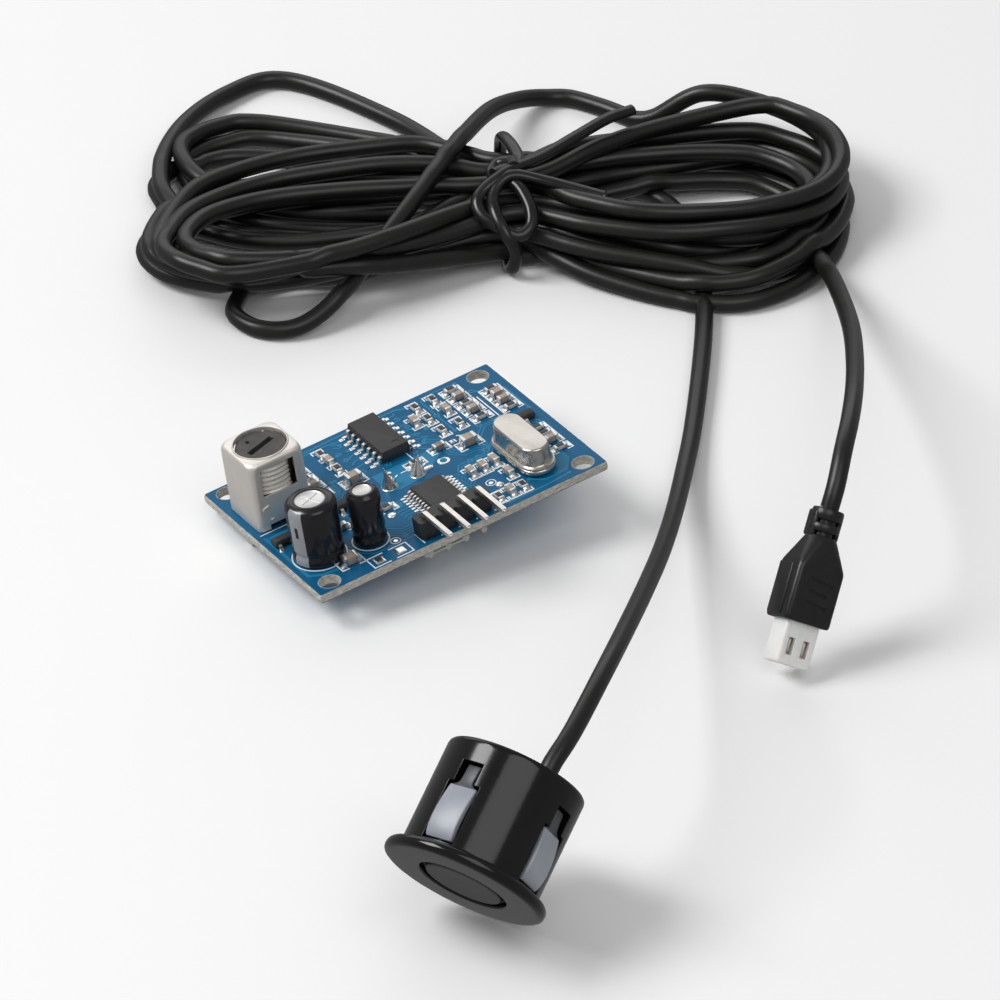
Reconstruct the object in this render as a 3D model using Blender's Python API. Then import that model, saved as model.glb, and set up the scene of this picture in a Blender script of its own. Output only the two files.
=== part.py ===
"""Waterproof ultrasonic distance sensor: driver board, probe with spring clips, wound cord and plug.

Everything is in metres with +Z up, standing on z = 0. The board lies on its underside socket and
on the lead tails at its heavy left end, so it leans a little to the left. The probe leans on the
rim of its flange and the plug on its tip, both held up by the springy end of the one cord.
"""

import math

import bmesh
import bpy
from mathutils import Euler, Matrix, Vector

MM = 0.001
DEG = math.radians(1.0)

# Board: x along its long side, y along its short side, z up from its top face.
BOARD_AT = Vector((-10.0, 11.6, 4.86)) * MM
BOARD_LEAN = -8.0 * DEG
BOARD_YAW = 31.5 * DEG
BOARD_LONG = 41.0 * MM
BOARD_WIDE = 28.5 * MM
BOARD_THICK = 1.2 * MM
MOUNT_HOLE = 2.8 * MM
MOUNT_INSET = (2.4 * MM, 1.85 * MM)
TAIL = 2.3 * MM  # how far a cut lead stands out under the board

COIL_AT = (4.9 * MM, 19.95 * MM)
COIL_HALF = 3.85 * MM
COIL_HIGH = 9.9 * MM
COIL_WALL = 0.3 * MM
COIL_PINS = [(-2.25, -2.5), (0.0, -2.5), (2.25, -2.5), (-2.25, 2.5), (2.25, 2.5)]
CORE_RADIUS = 3.2 * MM
CORE_TOP = 9.4 * MM
CORE_SLOT_TURN = 18.0 * DEG

BIG_CAP = {"at": (4.35 * MM, 7.5 * MM), "radius": 3.15 * MM, "high": 8.35 * MM,
           "pitch": 2.5 * MM, "tail": 4.6 * MM}
SMALL_CAP = {"at": (10.65 * MM, 5.9 * MM), "radius": 2.05 * MM, "high": 7.5 * MM,
             "pitch": 1.5 * MM, "tail": BOARD_THICK + TAIL}

CRYSTAL_AT = (33.9 * MM, 7.9 * MM)
CRYSTAL_PITCH = 4.88 * MM

HEADER_AT = (16.45 * MM, 2.25 * MM)
HEADER_PITCH = 2.54 * MM
HEADER_PIN = 0.64 * MM
HEADER_REACH = 6.85 * MM

AMPLIFIER_AT = (22.0 * MM, 22.8 * MM)
CONTROLLER_AT = (21.4 * MM, 7.55 * MM)
TRANSISTORS = [((37.9 * MM, 14.6 * MM), 1), ((2.3 * MM, 12.6 * MM), 2), ((10.9 * MM, 13.9 * MM), 1)]
BIG_CERAMICS = [(15.4 * MM, 18.0 * MM), (6.35 * MM, 3.45 * MM), (30.3 * MM, 15.0 * MM)]

SOCKET_AT = (20.2 * MM, 13.2 * MM)  # middle of its rear face
SOCKET_SIZE = (5.9 * MM, 7.6 * MM, 4.75 * MM)
SOCKET_TAILS = 4.0 * MM
CONTACT_PITCH = 2.0 * MM

# Probe: z runs from its face to its back along the axis.
PROBE_AT = Vector((7.25, -50.24, 8.48)) * MM
PROBE_LEAN = 33.8 * DEG
PROBE_YAW = 59.5 * DEG
FLANGE_RADIUS = 10.1 * MM
BODY_RADIUS = 8.6 * MM
PROBE_LONG = 15.0 * MM
BORE_RADIUS = 6.0 * MM
CORD_EXIT = (3.2 * MM, 0.7 * MM)
POTTING_BACK = 14.7 * MM
CLIP_ANGLES = [-11.0 * DEG + turn * 90.0 * DEG for turn in range(4)]
CLIP_HINGE = (7.55 * MM, 11.5 * MM)  # radius and height of the line that a clip bends about

# Plug: z runs from its open end to its cord.
PLUG_AT = Vector((45.57, 1.52, 2.05)) * MM
PLUG_LEAN = 49.3 * DEG
PLUG_YAW = 65.2 * DEG
PLUG_ROLL = 45.0 * DEG
PLUG_LONG = 19.3 * MM
PLUG_NOSE = 5.2 * MM

# Cord: 2.5 m of 2.3 mm coaxial cable, most of it in the hank.
CORD_WIDE = 2.3 * MM
GAP = 0.3 * MM
PROBE_ROUTE = [(19.9, -34.8, 19.0), (23.7, -23.9, 19.8), (26.2, -12.4, 17.2), (28.7, 1.7, 12.9),
               (31.0, 16.5, 8.2), (32.8, 30.1, 4.5), (34.2, 42.0, 2.2), (35.4, 52.1, 1.25),
               (36.6, 65.3, 1.2), (37.3, 77.0, 1.2)]
PLUG_ROUTE = [(52.6, 18.7, 21.3), (53.6, 24.8, 21.6), (54.4, 33.3, 20.2), (54.9, 44.9, 16.8),
              (55.0, 58.3, 12.2), (54.4, 73.2, 6.6), (53.2, 84.3, 3.2)]
HANK_OUTLINE = [(-34.1, 95.6), (-32.3, 88.0), (-28.5, 81.5), (-21.0, 80.0), (-18.6, 74.6),
                (-12.0, 74.5), (-5.5, 82.0), (5.2, 86.5), (14.1, 86.5), (24.2, 81.0),
                (37.6, 77.4), (47.5, 80.5), (54.0, 89.6), (55.8, 100.0), (55.0, 110.6),
                (50.0, 118.5), (40.0, 121.5), (30.0, 119.5), (20.0, 122.0), (12.8, 111.5),
                (4.0, 111.5), (-8.0, 120.5), (-17.7, 127.0), (-27.0, 123.0), (-33.3, 107.0)]
HANK_LOW = 0.05 * MM
HANK_HIGH = 10.4 * MM
TIE_X = 12.9
TIE_WIDE = 1.5 * MM
TIE_ROUTE = [(27.5, 98.5, 11.6), (20.0, 100.0, 11.6), (14.6, 100.5, 11.4), (14.3, 94.0, 11.1),
             (14.1, 89.0, 10.9), (13.9, 87.3, 9.8), (13.8, 87.2, 6.0), (13.7, 87.3, 2.2),
             (13.6, 88.6, 0.95), (13.4, 93.0, 0.85), (12.9, 99.0, 0.85), (12.5, 105.0, 0.85),
             (12.3, 109.4, 0.95), (12.1, 110.7, 2.2), (12.0, 110.8, 6.0), (11.9, 110.7, 9.8),
             (11.8, 108.8, 10.9), (11.8, 105.5, 11.3), (13.0, 103.5, 11.6), (20.0, 106.5, 11.6),
             (29.0, 112.5, 11.6)]
# The groove round the hank that the tie lies in: lowest and highest (y, z) outside and inside.
TIE_GROOVE_OUT = ((79.0, -4.0), (119.0, 14.0))
TIE_GROOVE_IN = ((88.4, 2.0), (109.6, 9.8))
TIE_GROOVE_WIDE = 5.6


def clear_scene():
    for old in list(bpy.data.objects):
        bpy.data.objects.remove(old, do_unlink=True)


def material(name, colour, roughness, metallic=0.0):
    """The named Principled material, made the first time that it is asked for."""
    made = bpy.data.materials.get(name)
    if made is None:
        made = bpy.data.materials.new(name)
        made.use_nodes = True
        shader = made.node_tree.nodes["Principled BSDF"]
        shader.inputs["Base Color"].default_value = (*colour, 1.0)
        shader.inputs["Roughness"].default_value = roughness
        shader.inputs["Metallic"].default_value = metallic
    return made


def blue_mask():
    return material("blue_solder_mask", (0.02, 0.11, 0.30), 0.35)


def tin_plate():
    return material("tinned_metal", (0.75, 0.73, 0.70), 0.30, 1.0)


def nickel():
    return material("nickel_silver", (0.70, 0.67, 0.62), 0.28, 1.0)


def aluminium():
    return material("aluminium", (0.80, 0.80, 0.80), 0.30, 1.0)


def ferrite():
    return material("grey_ferrite", (0.12, 0.12, 0.12), 0.60)


def copper_wire():
    return material("enamelled_copper", (0.45, 0.17, 0.07), 0.35, 1.0)


def black_plastic():
    return material("black_plastic", (0.02, 0.02, 0.02), 0.45)


def gloss_black():
    return material("gloss_black_shell", (0.010, 0.010, 0.010), 0.18)


def black_rubber():
    return material("black_rubber", (0.018, 0.018, 0.018), 0.70)


def cord_jacket():
    return material("cord_jacket", (0.012, 0.012, 0.012), 0.40)


def clip_nylon():
    return material("frosted_nylon", (0.50, 0.52, 0.56), 0.40)


def white_nylon():
    return material("white_nylon", (0.85, 0.85, 0.83), 0.40)


def ceramic_tan():
    return material("tan_ceramic", (0.45, 0.34, 0.27), 0.55)


def felt():
    return material("damping_felt", (0.30, 0.28, 0.25), 0.95)


def resin():
    return material("black_resin", (0.02, 0.02, 0.02), 0.30)


def quartz():
    return material("quartz", (0.75, 0.78, 0.80), 0.15)


def place(name, shape, look, parent=None, at=(0.0, 0.0, 0.0), turn=0.0, round_piece=True):
    """Turns a finished bmesh into a named object; turn is about its parent's z axis."""
    bmesh.ops.recalc_face_normals(shape, faces=shape.faces)
    mesh = bpy.data.meshes.new(name)
    shape.to_mesh(mesh)
    shape.free()
    if round_piece:
        mesh.shade_smooth()
        mesh.set_sharp_from_angle(angle=35.0 * DEG)
    mesh.materials.append(look)
    piece = bpy.data.objects.new(name, mesh)
    bpy.context.scene.collection.objects.link(piece)
    piece.parent = parent
    piece.location = at
    piece.rotation_euler = (0.0, 0.0, turn)
    return piece


def frame_empty(name, at, rotation):
    """An empty that holds a group of pieces; rotation is a 3 by 3 matrix."""
    empty = bpy.data.objects.new(name, None)
    bpy.context.scene.collection.objects.link(empty)
    empty.matrix_world = Matrix.Translation(at) @ rotation.to_4x4()
    return empty


def add_block(shape, size, centre, bevel=0.0):
    """A box in the bmesh, with all its edges bevelled where bevel is given."""
    made = bmesh.ops.create_cube(shape, size=1.0)["verts"]
    bmesh.ops.scale(shape, vec=Vector(size), verts=made)
    bmesh.ops.translate(shape, vec=Vector(centre), verts=made)
    if bevel:
        edges = {edge for vert in made for edge in vert.link_edges}
        bmesh.ops.bevel(shape, geom=list(edges), offset=bevel, segments=2, profile=0.5,
                        affect="EDGES")
    return made


def add_turned(shape, profile, steps=32, centre=(0.0, 0.0)):
    """A body of revolution about z. A profile that starts and ends on the axis makes a solid."""
    rings = []
    for radius, height in profile:
        if radius == 0.0:
            rings.append([shape.verts.new((*centre, height))])
            continue
        ring = []
        for step in range(steps):
            angle = 2.0 * math.pi * step / steps
            x = centre[0] + radius * math.cos(angle)
            y = centre[1] + radius * math.sin(angle)
            ring.append(shape.verts.new((x, y, height)))
        rings.append(ring)
    on_axis = len(rings[0]) == 1 and len(rings[-1]) == 1
    pairs = list(zip(rings, rings[1:]))
    if not on_axis:
        pairs.append((rings[-1], rings[0]))
    for low, high in pairs:
        join_rings(shape, low, high, steps)


def join_rings(shape, low, high, steps):
    """Faces between two rings; a ring of one vertex closes to a point."""
    if len(low) == 1 and len(high) == 1:
        return
    for step in range(steps):
        after = (step + 1) % steps
        if len(low) == 1:
            shape.faces.new((low[0], high[after], high[step]))
        elif len(high) == 1:
            shape.faces.new((low[step], low[after], high[0]))
        else:
            shape.faces.new((low[step], low[after], high[after], high[step]))


def add_loft(shape, rings, closed=False):
    """Joins rings of equal length in turn. The first and last are capped unless closed."""
    made = [[shape.verts.new(point) for point in ring] for ring in rings]
    pairs = list(zip(made, made[1:]))
    if closed:
        pairs.append((made[-1], made[0]))
    else:
        shape.faces.new(made[0])
        shape.faces.new(made[-1])
    for low, high in pairs:
        join_rings(shape, low, high, len(low))


def add_prism(shape, outline, low, high, placed=None):
    """A flat outline pushed from low to high along z, then moved by the placed matrix."""
    rings = [[Vector((x, y, height)) for x, y in outline] for height in (low, high)]
    if placed is not None:
        rings = [[placed @ point for point in ring] for ring in rings]
    add_loft(shape, rings)


def rounded_rectangle(half_x, half_y, radius, height, steps=6):
    """Points of a rounded rectangle, the same number whatever its corner radius."""
    points = []
    for corner, (sx, sy) in enumerate([(1, 1), (-1, 1), (-1, -1), (1, -1)]):
        for step in range(steps):
            angle = (corner + step / (steps - 1)) * math.pi / 2.0
            x = sx * (half_x - radius) + radius * math.cos(angle)
            y = sy * (half_y - radius) + radius * math.sin(angle)
            points.append(Vector((x, y, height)))
    return points


def helper(name, shape, parent=None, at=(0.0, 0.0, 0.0), turn=0.0):
    """A hidden shape that a Boolean uses."""
    piece = place(name, shape, black_plastic(), parent, at, turn)
    piece.hide_render = True
    piece.display_type = "WIRE"
    return piece


def boolean(piece, other, operation):
    change = piece.modifiers.new(other.name, "BOOLEAN")
    change.operation = operation
    change.solver = "EXACT"
    change.object = other


def smooth_route(points, spacing):
    """Points about one spacing apart on a smooth curve through the route points."""
    route = [2.0 * points[0] - points[1], *points, 2.0 * points[-1] - points[-2]]
    found = []
    for before, start, end, after in zip(route, route[1:], route[2:], route[3:]):
        steps = max(1, round((end - start).length / spacing))
        for step in range(steps):
            t = step / steps
            bend = 2.0 * start + (end - before) * t
            bend += (2.0 * before - 5.0 * start + 4.0 * end - after) * t * t
            bend += (3.0 * start - before - 3.0 * end + after) * t**3
            found.append(bend / 2.0)
    return [*found, points[-1]]


def tube(name, points, width, look, parent=None, sides=2):
    """A round solid along the points: a poly curve with a bevel and filled caps."""
    curve = bpy.data.curves.new(name, "CURVE")
    curve.dimensions = "3D"
    curve.bevel_depth = width / 2.0
    curve.bevel_resolution = sides
    curve.use_fill_caps = True
    spline = curve.splines.new("POLY")
    spline.points.add(len(points) - 1)
    for knot, point in zip(spline.points, points):
        knot.co = (*point, 1.0)
    curve.materials.append(look)
    piece = bpy.data.objects.new(name, curve)
    bpy.context.scene.collection.objects.link(piece)
    piece.parent = parent
    return piece


# ---------------------------------------------------------------- board


def capacitor_leads(cap):
    x, y = cap["at"]
    return [(x - cap["pitch"] / 2.0, y), (x + cap["pitch"] / 2.0, y)]


def board_drillings():
    """Every lead hole as (x, y, radius)."""
    holes = [(COIL_AT[0] + x * MM, COIL_AT[1] + y * MM, 0.42 * MM) for x, y in COIL_PINS]
    holes += [(COIL_AT[0] + side * 3.7 * MM, COIL_AT[1], 0.85 * MM) for side in (-1, 1)]
    for cap in (BIG_CAP, SMALL_CAP):
        holes += [(x, y, 0.36 * MM) for x, y in capacitor_leads(cap)]
    for side in (-1, 1):
        holes.append((CRYSTAL_AT[0], CRYSTAL_AT[1] + side * CRYSTAL_PITCH / 2.0, 0.36 * MM))
    for count in range(4):
        holes.append((HEADER_AT[0] + count * HEADER_PITCH, HEADER_AT[1], 0.52 * MM))
    for side in (-1, 1):
        holes.append((SOCKET_AT[0] + side * SOCKET_TAILS / 2.0, SOCKET_AT[1] + 0.8 * MM, 0.45 * MM))
    return holes


def make_board(frame):
    shape = bmesh.new()
    add_loft(shape, [rounded_rectangle(BOARD_LONG / 2.0, BOARD_WIDE / 2.0, 0.8 * MM, height)
                     for height in (-BOARD_THICK, 0.0)])
    middle = (BOARD_LONG / 2.0, BOARD_WIDE / 2.0, 0.0)
    board = place("circuit_board", shape, blue_mask(), frame, middle)
    drills = bmesh.new()
    for x in (MOUNT_INSET[0], BOARD_LONG - MOUNT_INSET[0]):
        for y in (MOUNT_INSET[1], BOARD_WIDE - MOUNT_INSET[1]):
            add_turned(drills, solid_rod(MOUNT_HOLE / 2.0, -3.0 * MM, 2.0 * MM), 32, (x, y))
    for x, y, radius in board_drillings():
        add_turned(drills, solid_rod(radius, -3.0 * MM, 2.0 * MM), 12, (x, y))
    boolean(board, helper("board_drills", drills, frame), "DIFFERENCE")


def solid_rod(radius, low, high):
    return [(0.0, low), (radius, low), (radius, high), (0.0, high)]


def make_rod(name, radius, low, high, look, parent, at, steps=12):
    shape = bmesh.new()
    add_turned(shape, solid_rod(radius, low, high), steps)
    return place(name, shape, look, parent, (*at, 0.0))


def coil_can_rings():
    """Inside wall down, then outside wall up and over to the round mouth."""
    inner = COIL_HALF - COIL_WALL
    outside = [(0.10, COIL_HALF, 0.7), (8.7, COIL_HALF, 0.9), (9.35, COIL_HALF - 0.07 * MM, 1.9),
               (9.75, COIL_HALF - 0.17 * MM, 2.9), (9.9, 3.55 * MM, 3.55)]
    inside = [(9.75, 3.42 * MM, 3.42), (9.3, 3.42 * MM, 3.42), (8.8, inner, 1.2),
              (8.5, inner, 0.6), (0.10, inner, 0.45)]
    return [rounded_rectangle(half, half, radius * MM, height * MM, 8)
            for height, half, radius in outside + inside]


def thread_strip(facing):
    """The strip of can wall pressed inwards behind a window, ribbed to hold the core."""
    profile = [(3.3, 4.3), (3.7, 4.3), (3.7, 4.75), (3.45, 4.95)]
    for rib in range(5):
        height = 5.45 + 0.62 * rib
        profile += [(3.45, height - 0.2), (3.62, height), (3.45, height + 0.2)]
    profile += [(3.45, 8.6), (3.7, 8.75), (3.7, 9.0), (3.3, 9.0)]
    steps = 14
    rings = []
    for step in range(steps + 1):
        angle = facing + (-46.0 + 77.0 * step / steps) * DEG
        rings.append([Vector((radius * math.cos(angle), radius * math.sin(angle), height)) * MM
                      for radius, height in profile])
    shape = bmesh.new()
    add_loft(shape, rings)
    return shape


def make_coil(frame):
    at = (*COIL_AT, 0.0)
    shape = bmesh.new()
    add_loft(shape, coil_can_rings(), closed=True)
    can = place("coil_shield_can", shape, nickel(), frame, at)
    windows = bmesh.new()
    for side in (-1, 1):
        add_block(windows, (4.8 * MM, 1.0 * MM, 3.95 * MM),
                  (side * 0.1 * MM, side * COIL_HALF, 6.77 * MM))
    add_block(windows, (2.4 * MM, 1.0 * MM, 1.6 * MM), (-1.1 * MM, -COIL_HALF, 0.0))
    boolean(can, helper("coil_windows", windows, frame, at), "DIFFERENCE")
    for name, facing in (("coil_thread_front", -90.0 * DEG), ("coil_thread_back", 90.0 * DEG)):
        boolean(can, helper(name, thread_strip(facing), frame, at), "UNION")
    lugs = bmesh.new()
    for side in (-1, 1):
        add_block(lugs, (0.22 * MM, 1.2 * MM, 4.0 * MM), (side * 3.7 * MM, 0.0, -1.4 * MM))
    boolean(can, helper("coil_lugs", lugs, frame, at), "UNION")

    shape = bmesh.new()
    add_loft(shape, [rounded_rectangle(3.4 * MM, 3.4 * MM, 0.5 * MM, 0.15 * MM),
                     rounded_rectangle(3.4 * MM, 3.4 * MM, 0.5 * MM, 1.6 * MM),
                     rounded_rectangle(1.7 * MM, 1.7 * MM, 1.7 * MM, 1.6 * MM),
                     rounded_rectangle(1.7 * MM, 1.7 * MM, 1.7 * MM, 1.95 * MM)])
    base = place("coil_base", shape, black_plastic(), frame, at)
    holes = bmesh.new()
    for x, y in COIL_PINS:
        add_turned(holes, solid_rod(0.4 * MM, -1.0 * MM, 3.0 * MM), 12, (x * MM, y * MM))
    boolean(base, helper("coil_base_holes", holes, frame, at), "DIFFERENCE")
    for count, (x, y) in enumerate(COIL_PINS, 1):
        spot = (COIL_AT[0] + x * MM, COIL_AT[1] + y * MM)
        make_rod(f"coil_pin_{count}", 0.3 * MM, -BOARD_THICK - TAIL, 2.5 * MM, tin_plate(), frame, spot)

    shape = bmesh.new()
    drum = [(0.0, 2.05), (2.1, 2.05), (2.1, 2.7), (1.0, 2.7), (1.0, 6.2), (2.1, 6.2), (2.1, 6.9),
            (0.0, 6.9)]
    add_turned(shape, [(radius * MM, height * MM) for radius, height in drum])
    place("coil_drum", shape, ferrite(), frame, at)
    shape = bmesh.new()
    turns = [(1.08, 2.8), (1.95, 2.8), (1.95, 6.1), (1.08, 6.1)]
    add_turned(shape, [(radius * MM, height * MM) for radius, height in turns])
    place("coil_winding", shape, copper_wire(), frame, at)
    make_tuning_core(frame, at)


def make_tuning_core(frame, at):
    """The slotted ferrite cup that screws down over the drum; it turns about the can's axis."""
    radius = CORE_RADIUS / MM
    cup = [(0.0, 7.6), (2.5, 7.6), (2.5, 4.7), (radius - 0.15, 4.7), (radius, 4.85),
           (radius, 9.25), (radius - 0.15, CORE_TOP / MM), (0.0, CORE_TOP / MM)]
    shape = bmesh.new()
    add_turned(shape, [(r * MM, height * MM) for r, height in cup], 40)
    core = place("tuning_core", shape, ferrite(), frame, at, CORE_SLOT_TURN)
    slot = bmesh.new()
    add_block(slot, (4.1 * MM, 0.85 * MM, 2.4 * MM), (0.0, 0.0, CORE_TOP))
    add_turned(slot, solid_rod(0.22 * MM, 8.8 * MM, 10.0 * MM), 10, (-0.3 * MM, 1.9 * MM))
    boolean(core, helper("core_slot", slot, frame, at, CORE_SLOT_TURN), "DIFFERENCE")


def make_capacitor(frame, name, cap):
    """An aluminium can crimped round a rubber bung, with the wound roll inside."""
    r = cap["radius"] / MM
    top = cap["high"] / MM
    at = (*cap["at"], 0.0)
    can = [(0.0, top - 0.6), (r - 0.35, top - 0.6), (r - 0.35, 1.95), (r - 0.4, 1.6),
           (r - 0.4, 1.45), (r - 0.3, 1.1), (r - 0.3, 0.3), (r, 0.3), (r, 1.1), (r - 0.18, 1.45),
           (r - 0.18, 1.6), (r, 1.95), (r, top - 0.35), (r - 0.12, top - 0.1), (r - 0.4, top),
           (r - 0.75, top), (r - 0.85, top - 0.25), (0.0, top - 0.25)]
    shape = bmesh.new()
    add_turned(shape, [(radius * MM, height * MM) for radius, height in can])
    place(f"{name}_can", shape, aluminium(), frame, at)
    shape = bmesh.new()
    add_turned(shape, solid_rod((r - 0.5) * MM, 0.35 * MM, 1.95 * MM), 24)
    bung = place(f"{name}_bung", shape, black_rubber(), frame, at)
    holes = bmesh.new()
    for x, y in capacitor_leads(cap):
        add_turned(holes, solid_rod(0.32 * MM, 0.0, 3.0 * MM), 12, (x, y))
    boolean(bung, helper(f"{name}_bung_holes", holes, frame), "DIFFERENCE")
    make_rod(f"{name}_roll", (r - 0.55) * MM, 2.15 * MM, (top - 0.75) * MM, felt(), frame,
             cap["at"], 24)
    for count, spot in enumerate(capacitor_leads(cap), 1):
        make_rod(f"{name}_lead_{count}", 0.25 * MM, -cap["tail"], 2.05 * MM, tin_plate(), frame,
                 spot, 10)


def make_crystal(frame):
    at = (*CRYSTAL_AT, 0.0)

    def rings(sections):
        return [rounded_rectangle(wide * MM, long * MM, wide * MM, height * MM, 8)
                for height, wide, long in sections]

    shape = bmesh.new()
    add_loft(shape, rings([(3.5, 1.6, 4.6), (1.0, 1.6, 4.6), (1.0, 2.25, 5.4), (1.22, 2.25, 5.4),
                           (1.36, 1.95, 5.0), (3.45, 1.88, 4.9), (3.68, 1.78, 4.8),
                           (3.76, 1.55, 4.57)]))
    place("crystal_cover", shape, nickel(), frame, at)
    shape = bmesh.new()
    add_loft(shape, rings([(0.3, 2.2, 5.35), (0.42, 2.3, 5.45), (0.86, 2.3, 5.45),
                           (0.95, 2.2, 5.35)]))
    base = place("crystal_base", shape, nickel(), frame, at)
    holes = bmesh.new()
    for side in (-1, 1):
        add_turned(holes, solid_rod(0.35 * MM, 0.0, 2.0 * MM), 12, (0.0, side * CRYSTAL_PITCH / 2.0))
    boolean(base, helper("crystal_base_holes", holes, frame, at), "DIFFERENCE")
    shape = bmesh.new()
    add_block(shape, (0.2 * MM, 7.4 * MM, 1.9 * MM), (0.0, 0.0, 2.35 * MM))
    place("crystal_blank", shape, quartz(), frame, at, round_piece=False)
    for count, side in enumerate((-1, 1), 1):
        spot = (CRYSTAL_AT[0], CRYSTAL_AT[1] + side * CRYSTAL_PITCH / 2.0)
        make_rod(f"crystal_lead_{count}", 0.22 * MM, -BOARD_THICK - TAIL, 1.25 * MM, tin_plate(),
                 frame, spot, 10)


def header_outline():
    """The plan of a four-way block with a V notch between one way and the next."""
    half = HEADER_PITCH / 2.0
    chamfer = 0.35 * MM
    front = []
    for count in range(4):
        middle = count * HEADER_PITCH
        front += [(middle - half, -half + chamfer), (middle - half + chamfer, -half),
                  (middle + half - chamfer, -half)]
    front.append((3.0 * HEADER_PITCH + half, -half + chamfer))
    return front + [(x, -y) for x, y in reversed(front)]


def make_header(frame):
    at = (*HEADER_AT, 0.0)
    shape = bmesh.new()
    add_prism(shape, header_outline(), 0.05 * MM, HEADER_PITCH)
    block = place("header_block", shape, black_plastic(), frame, at, round_piece=False)
    holes = bmesh.new()
    for count in range(4):
        add_block(holes, (0.76 * MM, 0.76 * MM, 5.0 * MM), (count * HEADER_PITCH, 0.0, MM))
    boolean(block, helper("header_holes", holes, frame, at), "DIFFERENCE")
    half = HEADER_PIN / 2.0
    low = -BOARD_THICK - TAIL
    top = HEADER_PITCH + 0.3 * MM + HEADER_PIN
    bend = 0.18 * MM
    side = [(-half, low), (half, low), (half, top - 2.0 * bend), (half - bend, top - 0.4 * bend),
            (half - 2.0 * bend, top), (-HEADER_REACH + bend, top), (-HEADER_REACH, top - bend),
            (-HEADER_REACH, top - HEADER_PIN + bend), (-HEADER_REACH + bend, top - HEADER_PIN),
            (-half, top - HEADER_PIN)]
    upright = Matrix(((0, 0, 1, 0), (1, 0, 0, 0), (0, 1, 0, 0), (0, 0, 0, 1)))
    for count in range(4):
        shape = bmesh.new()
        add_prism(shape, side, -half, half, upright)
        spot = (HEADER_AT[0] + count * HEADER_PITCH, HEADER_AT[1], 0.0)
        place(f"header_pin_{count + 1}", shape, tin_plate(), frame, spot, round_piece=False)


def add_gull_leads(shape, places, body_half, reach, high, width, thick=0.17 * MM):
    """Gull-wing leads at each (y, side) place, from inside the body out to the board."""
    middle = high * 0.5
    foot = 0.05 * MM
    side_view = [(body_half - 0.2 * MM, middle + thick / 2.0), (body_half + 0.28 * MM, middle + thick / 2.0),
                 (body_half + 0.46 * MM, foot + thick), (reach, foot + thick), (reach, foot),
                 (body_half + 0.32 * MM, foot), (body_half + 0.14 * MM, middle - thick / 2.0),
                 (body_half - 0.2 * MM, middle - thick / 2.0)]
    for y, side in places:
        lay = Matrix(((side, 0, 0, 0), (0, 0, 1, y), (0, 1, 0, 0), (0, 0, 0, 1)))
        add_prism(shape, side_view, -width / 2.0, width / 2.0, lay)


def make_chip(frame, name, spot, size, ways, pitch, reach, lead_width, turn=0.0):
    """A moulded chip: size is across the leads, along them, and up."""
    wide, long, high = size
    at = (*spot, 0.0)
    shape = bmesh.new()
    add_block(shape, (wide, long, high - 0.1 * MM), (0.0, 0.0, high / 2.0 + 0.05 * MM), 0.1 * MM)
    chip = place(name, shape, black_plastic(), frame, at, turn, round_piece=False)
    leads = bmesh.new()
    rows = [((count - (ways - 1) / 2.0) * pitch, side) for side in (-1, 1) for count in range(ways)]
    add_gull_leads(leads, rows, wide / 2.0, reach, high, lead_width)
    boolean(chip, helper(f"{name}_leads", leads, frame, at, turn), "UNION")


def make_transistor(frame, name, spot, front_leads):
    """A three-lead chip with one or two of its leads towards the front edge."""
    wide, long, high = 1.3 * MM, 2.9 * MM, 1.05 * MM
    at = (*spot, 0.0)
    turn = -math.pi / 2.0 if front_leads == 1 else math.pi / 2.0
    shape = bmesh.new()
    add_block(shape, (wide, long, high - 0.1 * MM), (0.0, 0.0, high / 2.0 + 0.05 * MM), 0.08 * MM)
    chip = place(name, shape, black_plastic(), frame, at, turn, round_piece=False)
    leads = bmesh.new()
    rows = [(0.0, 1), (-0.95 * MM, -1), (0.95 * MM, -1)]
    add_gull_leads(leads, rows, wide / 2.0, 1.2 * MM, high, 0.42 * MM, 0.13 * MM)
    boolean(chip, helper(f"{name}_leads", leads, frame, at, turn), "UNION")


def make_ceramics(frame):
    for count, spot in enumerate(BIG_CERAMICS, 1):
        shape = bmesh.new()
        add_block(shape, (2.0 * MM, 1.25 * MM, 1.15 * MM), (0.0, 0.0, 0.63 * MM), 0.1 * MM)
        place(f"ceramic_capacitor_{count}", shape, ceramic_tan(), frame, (*spot, 0.0),
              round_piece=False)


def make_socket(frame):
    """The side-entry socket for the plug, on the underside; the board rests on it."""
    wide, deep, high = SOCKET_SIZE
    x, rear = SOCKET_AT
    top = -BOARD_THICK - 0.05 * MM
    middle = top - high / 2.0
    shape = bmesh.new()
    add_block(shape, (wide, deep, high), (x, rear - deep / 2.0, middle), 0.15 * MM)
    socket = place("probe_socket", shape, white_nylon(), frame, round_piece=False)
    hollow = bmesh.new()
    add_block(hollow, (4.8 * MM, 8.0 * MM, 4.1 * MM), (x, rear - deep - 0.8 * MM, middle))
    slots = bmesh.new()
    for side in (-1, 1):
        add_block(slots, (0.8 * MM, 7.0 * MM, 0.8 * MM),
                  (x + side * CONTACT_PITCH / 2.0, rear - 2.0 * MM, middle))
    boolean(socket, helper("socket_slots", slots, frame), "DIFFERENCE")
    boolean(socket, helper("socket_hollow", hollow, frame), "DIFFERENCE")
    for count, side in enumerate((-1, 1), 1):
        inner = x + side * CONTACT_PITCH / 2.0
        outer = x + side * SOCKET_TAILS / 2.0
        tail = rear + 0.8 * MM
        route = [(inner, rear - 6.2 * MM, middle), (inner, tail - 0.5 * MM, middle),
                 (inner + side * 0.3 * MM, tail, middle + 0.3 * MM),
                 (outer, tail, top - 0.6 * MM), (outer, tail, 0.3 * MM),
                 (outer + 0.25 * MM, tail, 1.9 * MM)]
        tube(f"socket_pin_{count}", route, 0.5 * MM, tin_plate(), frame)


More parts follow.
